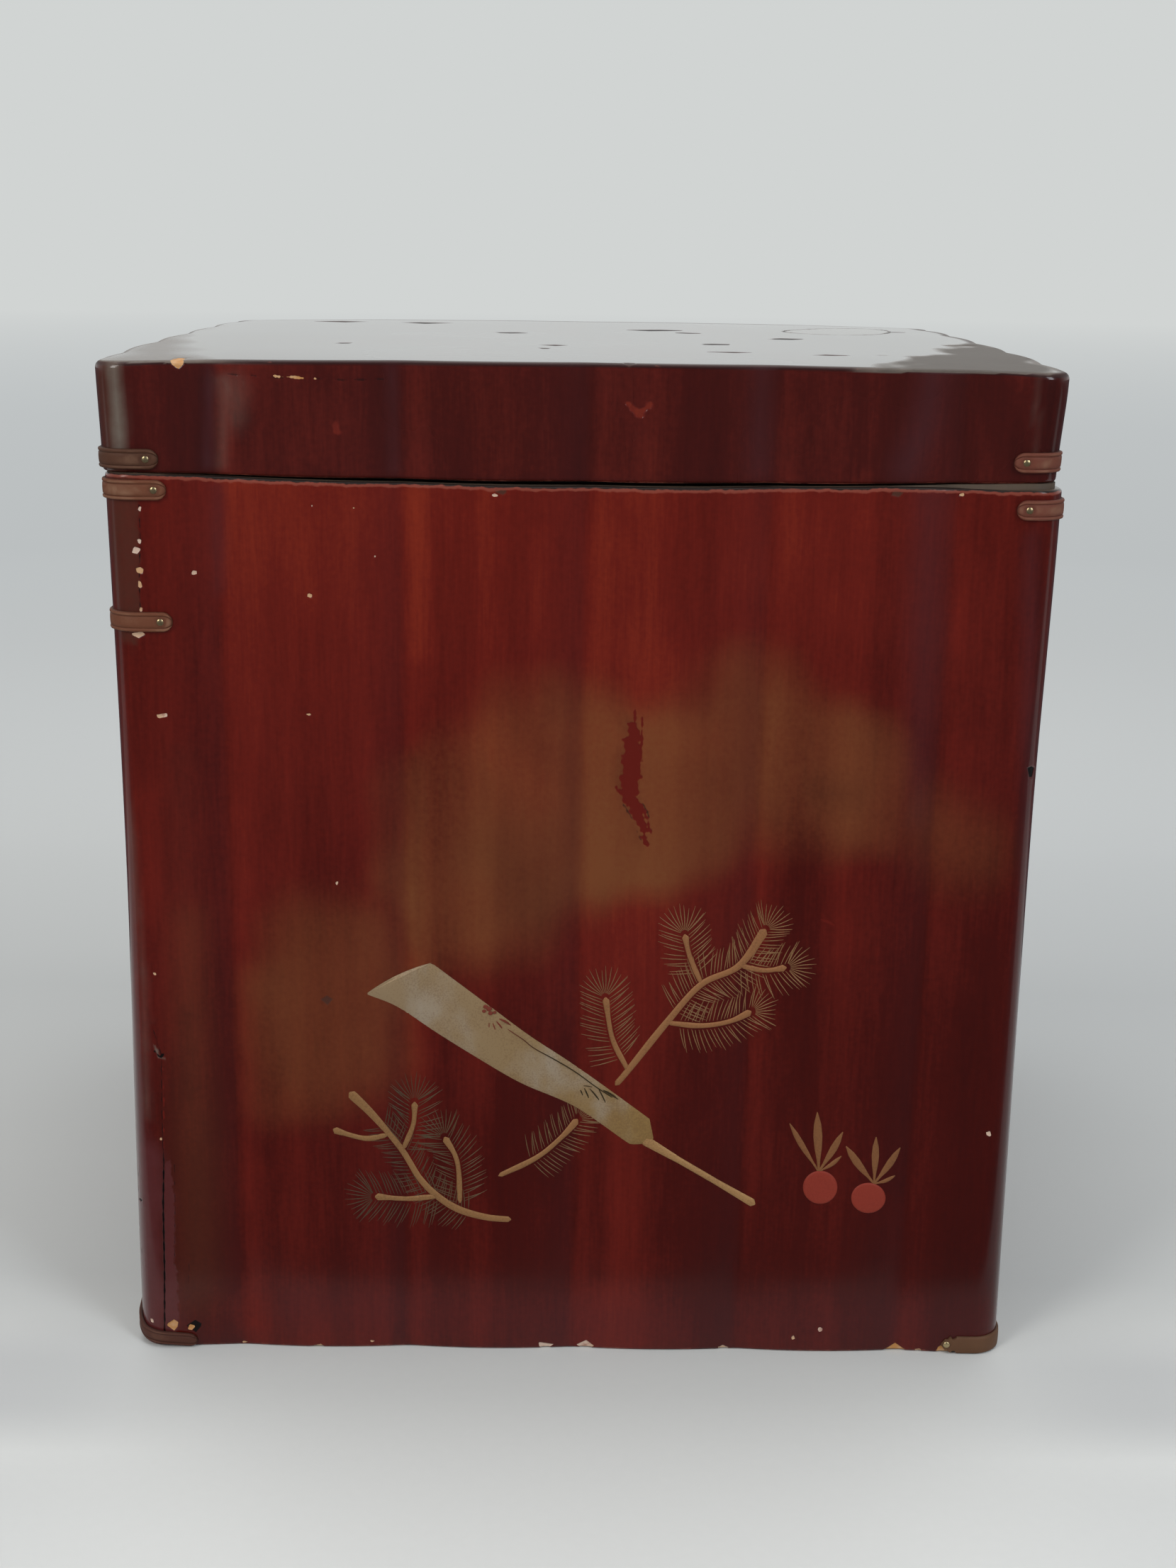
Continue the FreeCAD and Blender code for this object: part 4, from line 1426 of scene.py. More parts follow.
@dataclass
class Ornament:
    """The New Year motif on the front: pine, battledore paddle and two shuttlecocks."""

    relief: Relief
    twigs: tuple[Spray, ...] = (
        Spray((
            (868, 1531), (886, 1510), (940, 1443), (989, 1389), (1042.5, 1362.5), (1080, 1311),
        ), 10, 0.42, 34),
        Spray(((886, 1510), (864, 1465), (854, 1407)), bare=0.2),
        Spray(((989, 1387), (973, 1349), (966, 1318)), bare=0.2, needle=34),
        Spray(((942, 1443), (989, 1447), (1029, 1441), (1060, 1427)), bare=0.15, needle=32),
        Spray(((1045, 1362.5), (1078, 1369), (1109.5, 1365)), needle=34),
        Spray(((703, 1659), (757, 1633), (792.5, 1604), (815, 1579)), bare=0.35, needle=30),
        Spray((
            (721, 1720.5), (685, 1717), (647, 1706), (618, 1688), (592, 1662), (565, 1619), (525, 1572),
            (493, 1541),
        ), 10, 0.2, 26, False, 0.78),
        Spray(((569, 1621), (583, 1586), (585, 1554.5))),
        Spray(((649, 1697), (645, 1639), (627, 1604)), needle=34),
        Spray(((618, 1687.5), (574, 1691), (529, 1688))),
        Spray(((547, 1601), (516, 1606), (480, 1597), (470, 1593)), bare=1.0, fan=False),
    )
    twig_profile: tuple[float, ...] = (0.8, 1.0, 0.85, 0.85, 1.35)
    blade_upper: tuple[Pixel, ...] = (
        (609.5, 1358), (690, 1418), (748, 1461), (815, 1505), (908, 1572), (916, 1579), (918, 1586),
        (922, 1606),
    )
    blade_lower: tuple[Pixel, ...] = (
        (515.7, 1402.7), (560, 1420.5), (614, 1456), (672, 1492), (734.5, 1528), (810, 1561), (882, 1610),
        (890, 1614), (898, 1614.5), (913, 1613),
    )
    handle: tuple[Pixel, ...] = ((905, 1606), (960, 1638), (1010, 1667), (1065, 1699))
    stem: tuple[Pixel, ...] = (
        (714, 1450), (738, 1466), (753, 1478), (782, 1494), (812, 1512), (841, 1533), (866, 1549),
    )
    leaves: tuple[tuple[Pixel, Pixel, float], ...] = (
        ((694, 1440), (700, 1456), 3.0), ((698, 1438), (711, 1454), 3.5), ((702, 1436), (722, 1447), 3.5),
        ((690, 1440), (690, 1452), 2.5), ((816, 1532), (824, 1549), 3.0), ((822, 1530), (832, 1552), 3.5),
        ((829, 1532), (848, 1555), 3.5), ((843, 1533), (856, 1559), 3.0), ((848, 1536), (874, 1552), 3.2),
        ((818, 1531), (840, 1534), 2.0),
    )
    petals: tuple[tuple[Pixel, float], ...] = (
        ((685, 1420), 3.5), ((690, 1423), 4.0), ((683, 1426), 3.0), ((692, 1429), 3.5), ((698, 1428), 2.5),
    )
    feathers: tuple[tuple[Pixel, tuple[tuple[float, float, float], ...]], ...] = (
        ((1155, 1653), ((1114, 1585, 9.0), (1153, 1569, 13.5), (1189, 1597, 10.5), (1187, 1631, 6.5))),
        ((1233, 1670), ((1193.5, 1617, 11.5), (1236, 1604, 11), (1270, 1619, 10.5), (1262.5, 1658.5, 6))),
    )
    balls: tuple[tuple[Pixel, Pixel], ...] = (((1157, 1675), (24.5, 23.5)), ((1225, 1690), (24.5, 21.5)))

    def build(self, finishes: Mapping[str, Finish]) -> None:
        """Makes the motif's pieces in the finishes given by name."""
        pieces = (
            ("pine_needles", self._needles, "needle"),
            ("pine_twigs", self._twigs, "gold"),
            ("paddle", self._paddle, "silver"),
            ("paddle_handle", self._handle, "handle"),
            ("paddle_sprigs", self._sprigs, "leaf"),
            ("shuttlecock_feathers", self._feathers, "feather"),
            ("shuttlecock_balls", self._balls, "coral"),
        )
        for name, draw, finish in pieces:
            maker = MeshMaker()
            draw(maker)
            maker.make(name, finishes[finish], "red_lacquer", "body")

    def _twigs(self, maker: MeshMaker) -> None:
        """Draws the twigs."""
        for twig in self.twigs:
            widths = tuple(1.02 * twig.width * share for share in self.twig_profile)
            self.relief.stroke(maker, twig.path, widths, 0.35)

    def _needles(self, maker: MeshMaker) -> None:
        """Draws the needles, which fan out round each twig."""
        for seed, twig in enumerate(self.twigs, 1):
            rng = random.Random(seed)
            line = smooth_path(np.array(twig.path, float), 4.8)
            first = int(len(line) * twig.bare)
            last = int(len(line) * twig.stop)
            directions = np.gradient(line, axis=0)
            for i in range(first, last):
                heading = math.atan2(directions[i][1], directions[i][0])
                forward = (i - first) / max(last - first, 1)
                for hand in (-1, 1):
                    lean = 1.28 - 0.3 * forward + rng.uniform(-0.1, 0.1)
                    self._needle(maker, line[i], heading + hand * lean, hand, twig.needle, rng)
            if twig.fan:
                heading = math.atan2(directions[-1][1], directions[-1][0])
                for turn in np.linspace(-1.0, 1.0, 11):
                    self._needle(maker, line[-1], heading + turn, 1 if turn > 0 else -1, twig.needle, rng)

    def _needle(
        self, maker: MeshMaker, root: Array, angle: float, hand: int, length: float, rng: random.Random
    ) -> None:
        """Draws one needle, which bends towards the twig's tip."""
        half = 0.5 * length * rng.uniform(0.88, 1.12)
        bent = angle - 0.08 * hand
        way = np.array([math.cos(angle), math.sin(angle)])
        start = root + way * 6.0
        middle = start + way * half
        end = middle + np.array([math.cos(bent), math.sin(bent)]) * half
        path = (start, middle, end)
        self.relief.stroke(maker, path, (1.4, 1.7, 0.9), 0.1, across=3, step=9.0, blunt=False)

    def _paddle(self, maker: MeshMaker) -> None:
        """Draws the blade between its two long sides."""
        share = np.linspace(0, 1, 70)
        sides = []
        for edge in (self.blade_lower, self.blade_upper):
            line = smooth_path(np.array(edge, float), 3.0)
            run = run_along(line)
            sides.append(np.stack([np.interp(share * run[-1], run, line[:, k]) for k in (0, 1)], axis=1))
        across = np.linspace(0, 1, 34)[None, :, None]
        rows = sides[0][:, None] * (1 - across) + sides[1][:, None] * across
        bulge = 4 * across * (1 - across) * np.maximum(1 - share[:, None, None] / 0.08, 0)
        self.relief.slab(maker, rows + bulge * np.array([-2.0, -5.0]), 0.4)

    def _handle(self, maker: MeshMaker) -> None:
        """Draws the paddle's handle."""
        self.relief.stroke(maker, self.handle, (15.0, 9.0, 8.5, 12.0), 0.42)

    def _sprigs(self, maker: MeshMaker) -> None:
        """Draws the thin stem, the small leaves and the petals on the blade."""
        self.relief.stroke(maker, self.stem, (1.8, 2.6, 2.4), 0.54, across=4, blunt=False)
        for root, tip, width in self.leaves:
            middle = (0.5 * (root[0] + tip[0]), 0.5 * (root[1] + tip[1]) - 1.0)
            widths = (1.5, 1.25 * width, 1.25 * width, 1.0)
            self.relief.stroke(maker, (root, middle, tip), widths, 0.52, across=4, blunt=False)
        for centre, radius in self.petals:
            self.relief.disc(maker, centre, (radius, 0.8 * radius), 0.54)

    def _feathers(self, maker: MeshMaker) -> None:
        """Draws the leaf-shaped feathers of both shuttlecocks."""
        for base, tips in self.feathers:
            for x, y, wide in tips:
                middle = np.array(base) * 0.45 + np.array((x, y)) * 0.55 + np.array([0.0, 2.0])
                widths = (3.0, 0.4 * wide, 0.8 * wide, wide, 0.8 * wide, 1.5)
                self.relief.stroke(maker, (base, middle, (x, y)), widths, 0.22, blunt=False)

    def _balls(self, maker: MeshMaker) -> None:
        """Draws the coral balls of both shuttlecocks."""
        for centre, radii in self.balls:
            self.relief.disc(maker, centre, radii, 0.45)


@dataclass
class Interior:
    """The CAD nodes that stay: boards, lips, bearers and tray, with their edges eased."""

    wood: Finish
    black: Finish
    ease: float = 0.0004
    weld: float = 1e-6
    sharp: float = 50.0

    def dress(self, frame: Mapping[str, Any]) -> None:
        """Finishes the nodes that no finer mesh replaces."""
        for name, node in frame["nodes"].items():
            if node.hide_render:
                continue
            finish = self.wood if name.endswith("board") else self.black
            node.data.materials.clear()
            node.data.materials.append(finish.material())
            weld = node.modifiers.new("weld", "WELD")
            weld.merge_threshold = self.weld
            bevel = node.modifiers.new("ease", "BEVEL")
            bevel.width = self.ease
            bevel.segments = 2
            bevel.limit_method = "ANGLE"
            bevel.angle_limit = math.radians(self.sharp)
            LOG.info("%s: %s", name, finish.name)


@dataclass(frozen=True)
class Softbox:
    """A soft rectangular lamp."""

    name: str
    position: tuple[float, float, float]
    aim: tuple[float, float, float]
    size: tuple[float, float]
    power: float
    colour: tuple[float, float, float] = (1.0, 1.0, 1.0)

    def make(self) -> None:
        """Makes the lamp."""
        data = bpy.data.lights.new(self.name, "AREA")
        data.shape = "RECTANGLE"
        data.size, data.size_y = self.size
        data.energy = self.power
        data.color = self.colour
        made = bpy.data.objects.new(self.name, data)
        made.location = self.position
        made.rotation_euler = (Vector(self.aim) - Vector(self.position)).to_track_quat("-Z", "Y").to_euler()
        bpy.context.scene.collection.objects.link(made)


@dataclass
class Studio:
    """Floor, world and lamps."""

    backdrop: Colour = ink(209, 212, 211)
    room: Colour = ink(66, 66, 70)
    fill: float = 0.42
    reach: float = 14.0
    lamps: tuple[Softbox, ...] = (
        Softbox("left_window", (-1.45, -1.6, 1.5), (0, 0, 0.18), (0.7, 1.3), 21.0, (1.0, 0.98, 0.95)),
        Softbox("right_window", (1.45, -1.6, 1.5), (0, 0, 0.18), (0.7, 1.3), 20.0, (0.9, 0.94, 1.0)),
        Softbox("ceiling", (0.0, 0.32, 2.0), (0, 0, 0), (1.8, 1.5), 24.0),
    )

    def build(self) -> None:
        """Makes the studio."""
        self._floor()
        self._world()
        for lamp in self.lamps:
            lamp.make()
        scene = bpy.context.scene
        scene.view_settings.view_transform = "Standard"

    def _floor(self) -> None:
        """Makes the floor."""
        cells = 28
        axis = np.linspace(-self.reach, self.reach, cells + 1) / MM
        x, y = np.meshgrid(axis, axis)
        maker = MeshMaker()
        maker.quads(maker.add(np.stack([x, y, np.full_like(x, -0.02)], axis=-1)))
        mesh = bpy.data.meshes.new("floor")
        mesh.from_pydata((np.concatenate(maker.points) * MM).tolist(), [], maker.faces)
        mesh.materials.append(Paper("floor_paper").material())
        floor = bpy.data.objects.new("floor", mesh)
        bpy.context.scene.collection.objects.link(floor)

    def _world(self) -> None:
        """Makes the backdrop that the camera and glossy rays see, and the fill light."""
        world = bpy.data.worlds.new("backdrop")
        world.use_nodes = True
        bpy.context.scene.world = world
        graph = Graph(world.node_tree)
        ray = graph.node("ShaderNodeTexCoord", out="Generated")
        behind = graph.node("ShaderNodeSeparateXYZ", None, {0: ray}, 1)
        mirrored = graph.mix(self.room, self.backdrop, behind.smooth(-0.4, 0.3))
        fill, gloss, shown = (
            graph.node("ShaderNodeBackground", None, {"Color": colour, "Strength": strength})
            for colour, strength in (((1, 1, 1, 1), self.fill), (mirrored, 1.0), (self.backdrop, 1.0))
        )
        mixed = graph.blend(fill, gloss, graph.seen_by("Glossy"))
        mixed = graph.blend(mixed, shown, graph.seen_by("Camera"))
        graph.node("ShaderNodeOutputWorld", None, {"Surface": mixed})


@dataclass(frozen=True)
class PhotoWear:
    """Turns wear, and painted light, shade and reflection, as they lie in the photograph into marks.

    A path is a flat run of x, y, x, y in pixels. Half widths of trails are in millimetres.
    """

    camera: PhotoCamera
    skin: Skin
    top: float = 338.3
    scale: float = 1 / 4.4

    PLAIN = (0.0, 0.25)

    def flat(self, path: Sequence[float]) -> tuple[Pixel, ...]:
        """Gives a path's points on the front."""
        return tuple(map(tuple, self.camera.on_front(self.skin, np.array(path, float).reshape(-1, 2))))

    def above(self, path: Sequence[float]) -> tuple[Pixel, ...]:
        """Gives a path's points on the lid's top."""
        points = self.camera.on_plane(np.array(path, float).reshape(-1, 2), 2, self.top)
        return tuple(map(tuple, points[..., :2]))

    def spots(self, kind: str, depth: float, *rows: tuple[float, float, float, float]) -> list[Mark]:
        """Turns rows of x, y, half width and half height, in pixels, into angular flakes."""
        made = []
        for seed, (x, y, wide, tall) in enumerate(rows, 3):
            size = (wide * self.scale, tall * self.scale)
            soft = min(0.3, 0.6 * min(size))
            made.append(Mark(kind, self.flat((x, y)), 1.0, depth, soft, seed=seed, size=size))
        return made

    def trails(self, table: Mapping[str, Sequence[Sequence[Any]]]) -> list[Mark]:
        """Turns rows of path, half widths, softness and strength, by kind of wear, into trails.

        A row may end with a depth, and with its raggedness after that.
        """
        made = []
        for kind, rows in table.items():
            for path, width, soft, strength, *more in rows:
                depth, ragged = (*more, *self.PLAIN[len(more):])
                made.append(Mark(kind, self.flat(path), width, depth, soft, strength, ragged))
        return made

    def area(self, kind: str, path: Sequence[float], **more: Any) -> Mark:
        """Turns the outline of an area into a mark."""
        return Mark(kind, self.flat(path), 0.0, filled=True, **more)


FRONT_TRAILS = {
    "worn": (
        (
            (894, 1024, 892, 1048, 890, 1090, 888, 1112, 888, 1128), (1.4, 2.6, 3.1, 3.0, 1.9),
            0.7, 1.0, 0.2, 0.45,
        ),
        ((884, 1118, 901, 1148, 913, 1192), (1.8, 2.0, 0.4), 0.6, 1.0, 0.2, 0.5),
        ((868, 1112, 880, 1122), (0.5, 1.1), 0.5, 1.0, 0.2, 0.3),
        ((896, 1000, 895, 1030, 896, 1060), (0.2, 0.7, 0.6), 0.4, 1.0, 0.1, 0.2),
        ((906, 1012, 905, 1050, 899, 1090), (0.15, 0.5, 0.7), 0.4, 1.0, 0.1, 0.2),
        ((904, 1138, 914, 1158, 918, 1176), (0.6, 0.6, 0.15), 0.5, 1.0, 0.15, 0.3),
        ((222, 960, 222, 1100, 224, 1300), (1.2, 2.2, 1.0), 2.0, 0.42),
        ((1151, 1294, 1176, 1304), 0.25, 0.3, 0.9, 0.05),
        ((229, 1492, 231, 1550, 231, 1625), (0.1, 0.3, 0.1), 0.5, 0.8, 0.0, 0.15),
    ),
    "crack": (
        ((902, 1120, 914, 1150, 918, 1172), (0.1, 0.3, 0.1), 0.4, 0.6, 0.0, 0.3),
        ((876, 1128, 890, 1152, 905, 1186), (0.08, 0.2, 0.1), 0.4, 0.55, 0.0, 0.3),
        ((218, 1484, 226, 1492, 231, 1486), (0.2, 0.35, 0.2), 0.3, 0.8, 0.2),
        ((190, 1652, 193, 1676, 190, 1694), (0.08, 0.1, 0.06), 0.2, 0.7, 0.1, 0.05),
        ((188, 1764, 196, 1770, 199, 1790), (0.06, 0.1, 0.06), 0.2, 0.7, 0.1, 0.05),
        ((266, 1778, 267, 1790, 266, 1808), (0.06, 0.1, 0.06), 0.2, 0.7, 0.1, 0.05),
        ((246, 1642, 247, 1700, 246, 1785), (0.12, 0.12, 0.1), 0.22, 0.7, 0.15, 0.06),
        ((215, 1450, 228, 1490, 228, 1560, 231, 1640), (0.1, 0.2, 0.15, 0.25), 0.3, 0.7, 0.3, 0.08),
        ((231, 1640, 230, 1700, 232, 1790, 232, 1890), (0.2, 0.28, 0.24, 0.22), 0.25, 1.0, 0.5, 0.08),
        ((196, 712, 198, 760, 196, 820, 199, 880), (0.12, 0.16, 0.12, 0.12), 0.25, 0.75, 0.15, 0.08),
    ),
    # Painted side light along the front's left edge.
    "plum": (((160, 1150, 178, 1400, 196, 1640), (0.5, 1.5, 3.0), 4.0, 0.4),),
    # Painted highlights: a grey one by the left corner and glints along the crack.
    "ash": (
        ((182, 1150, 203, 1400, 206, 1580), (0.3, 0.5, 0.6), 2.4, 0.28),
        ((209, 1436, 217, 1440), (0.35, 0.2), 0.4, 0.7, 0.0, 0.15),
        ((219, 1476, 224, 1492, 232, 1494), (0.15, 0.3, 0.15), 0.4, 0.7, 0.0, 0.2),
    ),
    "stain": (
        ((170, 690, 176, 800, 182, 895), (5.2, 4.6, 3.4), 0.8, 0.62),
        ((255, 1070, 262, 1400, 275, 1650, 285, 1800), (4.0, 6.0, 8.0, 6.0), 7.0, 0.12),
    ),
    "dull": (((300, 1850, 830, 1850, 1350, 1860), 10.0, 6.0, 0.6),),
    # Painted reflection: bluish veils.
    "cool": (
        ((308, 690, 310, 830), (1.5, 1.0), 3.0, 0.35),
        ((420, 1850, 830, 1866, 1350, 1866), 9.0, 7.0, 0.22),
        ((1312, 700, 1304, 900, 1295, 1150), (5.0, 5.0, 2.0), 6.0, 0.28),
        ((1455, 760, 1450, 1300, 1425, 1700), 2.0, 4.0, 0.4),
    ),
    "haze": (((270, 1300, 277, 1640, 277, 1830), (3.0, 7.0, 7.0), 9.0, 0.25),),
    # Painted shade.
    "dim": (
        ((885, 1020, 882, 1110, 905, 1195), (1.5, 3.0, 1.0), 2.5, 0.5, 0.0, 0.8),
        ((262, 1430, 262, 1540), 2.0, 4.0, 0.4),
        ((362, 1600, 364, 1840), (2.0, 2.5), 3.5, 0.15),
        ((1470, 760, 1462, 1000, 1434, 1220), (1.4, 1.4, 1.2), 2.6, 0.6),
        ((1098, 700, 1096, 960), (3.0, 2.0), 4.0, 0.45),
        ((850, 1250, 845, 1500, 848, 1800), (2.0, 2.0, 3.0), 4.0, 0.5),
        ((335, 700, 335, 1120), 2.0, 4.0, 0.35),
        ((250, 1060, 250, 1290), 2.0, 5.0, 0.25),
        ((309, 690, 312, 920), (1.5, 1.2), 3.0, 0.4),
        ((586, 1070, 586, 1330), 2.0, 3.0, 0.6),
        ((682, 1060, 682, 1300), 0.8, 3.0, 0.3),
        ((1095, 700, 1095, 940, 1088, 1150), (2.0, 3.0, 4.0), 6.0, 0.3),
        ((1160, 1112, 1196, 1124), 4.0, 7.0, 0.5),
        ((690, 1200, 765, 1285), (8.0, 10.0), 10.0, 0.35),
        ((850, 700, 932, 760, 935, 880), (6.0, 7.0, 7.0), 10.0, 0.25),
        ((1185, 690, 1185, 790), 6.0, 9.0, 0.25),
        ((509, 690, 514, 840), (1.5, 1.0), 3.5, 0.3),
    ),
    # Painted highlights.
    "glow": (
        ((205, 1120, 212, 1300), (3.0, 2.0), 4.0, 0.5),
        ((402, 1560, 404, 1800), 5.0, 7.0, 0.3),
        ((690, 1050, 760, 1120), 8.0, 10.0, 0.45),
        ((338, 1640, 340, 1860), 6.0, 8.0, 0.45),
        ((675, 1700, 675, 1870), 5.0, 8.0, 0.3),
        ((930, 1790, 930, 1880), 5.0, 8.0, 0.3),
        ((1356, 1240, 1352, 1380), 4.0, 8.0, 0.35),
        ((1185, 1240, 1185, 1340), 5.0, 8.0, 0.25),
        ((1262, 1700, 1264, 1900), 2.5, 4.0, 0.45),
        ((590, 700, 592, 920), 3.0, 4.0, 0.45),
        ((755, 760, 755, 1000), 3.0, 5.0, 0.45),
        ((720, 1040, 1000, 1040), 5.0, 8.0, 0.25),
        ((1370, 1060, 1365, 1300), 4.0, 8.0, 0.4),
        ((1350, 720, 1352, 900), 2.0, 4.0, 0.25),
        ((348, 1380, 350, 1560), 2.0, 4.0, 0.15),
    ),
}
LID_TRAILS = {
    # Worn orange spots first, then painted highlights.
    "glow": (
        ((886, 570, 900, 583), (0.6, 1.3), 0.5, 1.0, 0.25),
        ((918, 570, 902, 583), (0.6, 1.3), 0.5, 1.0, 0.25),
        ((474, 596, 475, 608), (0.9, 1.1), 0.6, 1.0, 0.1),
        ((592, 530, 600, 655), (6.0, 5.0), 6.0, 0.28),
        ((738, 540, 745, 655), 9.0, 7.0, 0.28),
        ((458, 570, 460, 640), 4.0, 5.0, 0.25),
    ),
    "wood": (((386, 530, 410, 532, 446, 535), (0.2, 0.3, 0.2), 0.3, 0.75, 0.1),),
    "crack": (((310, 527, 400, 533, 500, 536, 560, 535), (0.1, 0.16, 0.14, 0.1), 0.25, 0.5, 0.2),),
    "stain": (((150, 530, 155, 600, 160, 655), (4.6, 4.4, 4.0), 2.2, 0.6),),
    # Painted highlights at the lid's corners and beside its first groove.
    "ash": (
        ((158, 522, 166, 580, 167, 645), (1.5, 1.7, 1.5), 2.4, 1.0),
        ((319, 540, 317, 590, 313, 655), (1.6, 1.0, 0.0), 3.4, 0.36),
        ((308, 537, 342, 541), (0.7, 0.5), 1.8, 0.3),
        ((330, 546, 333, 592), (3.6, 2.0), 4.5, 0.22),
        ((1464, 530, 1462, 600, 1458, 640), 0.1, 1.4, 0.3),
        ((1466, 526, 1482, 528), 0.3, 0.8, 0.8),
    ),
    # Painted shade.
    "dim": (
        ((344, 590, 342, 655), 3.5, 4.0, 0.6),
        ((290, 530, 289, 655), 3.0, 4.0, 0.8),
        ((240, 530, 255, 655), 3.0, 5.0, 0.25),
        ((385, 530, 390, 655), 4.0, 5.0, 0.35),
        ((1216, 530, 1216, 655), 2.0, 4.0, 0.4),
        ((1400, 530, 1435, 655), (6.0, 5.0), 5.0, 0.6),
        ((1486, 520, 1482, 655), 4.0, 4.0, 1.0),
        ((1360, 530, 1360, 655), 3.0, 5.0, 0.25),
        ((1120, 530, 1120, 655), 2.0, 5.0, 0.25),
    ),
    # Painted reflection: bluish veils along the grooves and at the right.
    "cool": (
        ((296, 525, 294, 655), 0.8, 2.6, 0.6),
        ((553, 520, 556, 660), 0.5, 3.2, 0.5),
        ((1075, 520, 1070, 660), (1.0, 2.0), 6.0, 0.45),
        ((1318, 520, 1304, 600, 1280, 660), (2.5, 3.0, 4.0), 7.0, 0.6),
    ),
}


def front_marks(wear: PhotoWear) -> list[Mark]:
    """Gives the wear of the body's front, with its painted highlights, shade and reflections."""
    marks = wear.trails(FRONT_TRAILS)
    marks += wear.spots(
        "chip", 0.3, (197, 718, 1.5, 4), (197, 764, 2.2, 4), (192, 777, 5.5, 4), (197, 824, 2, 5),
        (199, 860, 2, 4), (194, 895, 10, 3), (228, 1010, 9, 2.5), (218, 1374, 2.5, 2),
        (274, 808, 3.5, 3), (437, 840, 3, 3), (435, 1008, 4, 1.2), (475, 1246, 1.5, 2.5),
        (1119, 1887, 2.5, 4), (1157, 1876, 3.5, 4), (770, 1897, 14, 1.6), (826, 1898, 16, 1.6),
        (1020, 1902, 10, 1.2), (1395, 1600, 3, 4), (698, 699, 4, 2), (1357, 698, 4, 2.4),
        (345, 1893, 4, 1.5), (447, 1900, 10, 0.8), (525, 1892, 3, 1.5), (213, 1866, 3, 3),
        (529, 785, 1.2, 1.2), (440, 714, 1.2, 1.2), (499, 717, 1.2, 1.2), (227, 1607, 1.6, 2.4),
    )
    marks += wear.spots("stain", 0.15, (460, 1410, 10, 2), (708, 693, 8, 5), (1266, 697, 8, 3))
    marks += wear.spots(
        "crack", 0.25, (274, 1870, 11, 8), (1458, 1092, 4, 10), (195, 1700, 3, 2), (187, 1745, 3, 2),
    )
    marks += wear.spots("wood", 0.35, (244, 1869, 7.5, 9), (198, 805, 5, 5), (270, 1873, 5, 4))
    marks += wear.spots("wood", 0.3, (1260, 1904, 19, 2.2), (1296, 1905, 5, 2.8), (1344, 1907, 28, 1.6))
    peel = (
        231, 1642, 240, 1637, 246, 1690, 247, 1735, 246, 1782, 250, 1800, 252, 1868, 244, 1892, 231, 1895,
    )
    seam = (150, 1570, 222, 1610, 231, 1642, 231, 1897, 150, 1897)
    cloud = (
        1240, 1022, 1262, 1110, 1245, 1200, 1170, 1212, 1110, 1192, 1050, 1178, 990, 1212, 945, 1258,
        860, 1292, 760, 1318, 660, 1350, 590, 1380, 545, 1330, 560, 1200, 562, 1070, 600, 1032,
        690, 1004, 775, 966,
        830, 962, 900, 984, 955, 974, 1005, 950, 1060, 944, 1110, 966, 1165, 1000,
    )
    left_cloud = (570, 1250, 585, 1390, 540, 1530, 470, 1575, 390, 1575, 345, 1520, 352, 1380, 430, 1280)
    edge = wear.flat((1290, 1150, 1360, 1200))
    return marks + [
        wear.area("plum", peel, depth=0.14, soft=0.35, strength=0.6),
        wear.area("plum", seam, soft=4.5, strength=0.6, ragged=1.2),
        wear.area("haze", cloud, soft=9.5, strength=0.84, ragged=3.5),
        wear.area("haze", left_cloud, soft=11.0, strength=0.66, ragged=3.0, seed=5),
        Mark("haze", edge, (10.0, 12.0), soft=12.0, strength=0.4, seed=6),
    ]


def unseen_marks(
    height: tuple[float, float], seed: int, chips: int = 11, at_foot: float = 0.6
) -> list[Mark]:
    """Gives some plain wear, and patches of painted reflection, to the sides that the photograph doesn't
    show.

    Args:
        height: The lowest and highest z of the wear.
        seed: The seed of its chance.
        chips: How many chips each side has.
        at_foot: The share of them that lie along its foot.

    Returns:
        The marks.
    """
    rng = random.Random(seed)
    low, high = height
    marks = []
    for plane in (Plane.RIGHT, Plane.BACK, Plane.LEFT):
        for _ in range(chips):
            foot = rng.random() < at_foot
            place = (rng.uniform(-132, 132), low + rng.uniform(0, 2.5) if foot else rng.uniform(low, high))
            size = (rng.uniform(0.6, 2.6), rng.uniform(0.4, 0.9)) if foot else (rng.uniform(0.3, 0.8),) * 2
            chance = rng.randrange(999)
            marks.append(Mark("chip", (place,), 1.0, 0.3, 0.25, plane=plane, seed=chance, size=size))
        for _ in range(2):
            start = np.array([rng.uniform(-120, 120), rng.uniform(low, high)])
            tip = start + np.array([rng.uniform(-3, 3), (high - low) * rng.uniform(0.08, 0.2)])
            path = (tuple(start), tuple((start + tip) / 2 + rng.uniform(-1.5, 1.5)), tuple(tip))
            marks.append(Mark("crack", path, (0.1, 0.25, 0.1), 0.2, 0.3, 0.8, 0.1, plane=plane))
        # Patches of painted reflection.
        for _ in range(3):
            path = ((rng.uniform(-125, 125), rng.uniform(low, high)),)
            marks.append(Mark("cool", path, rng.uniform(3, 12), 0.0, 14.0, 0.4, 2.0, plane=plane))
    return marks


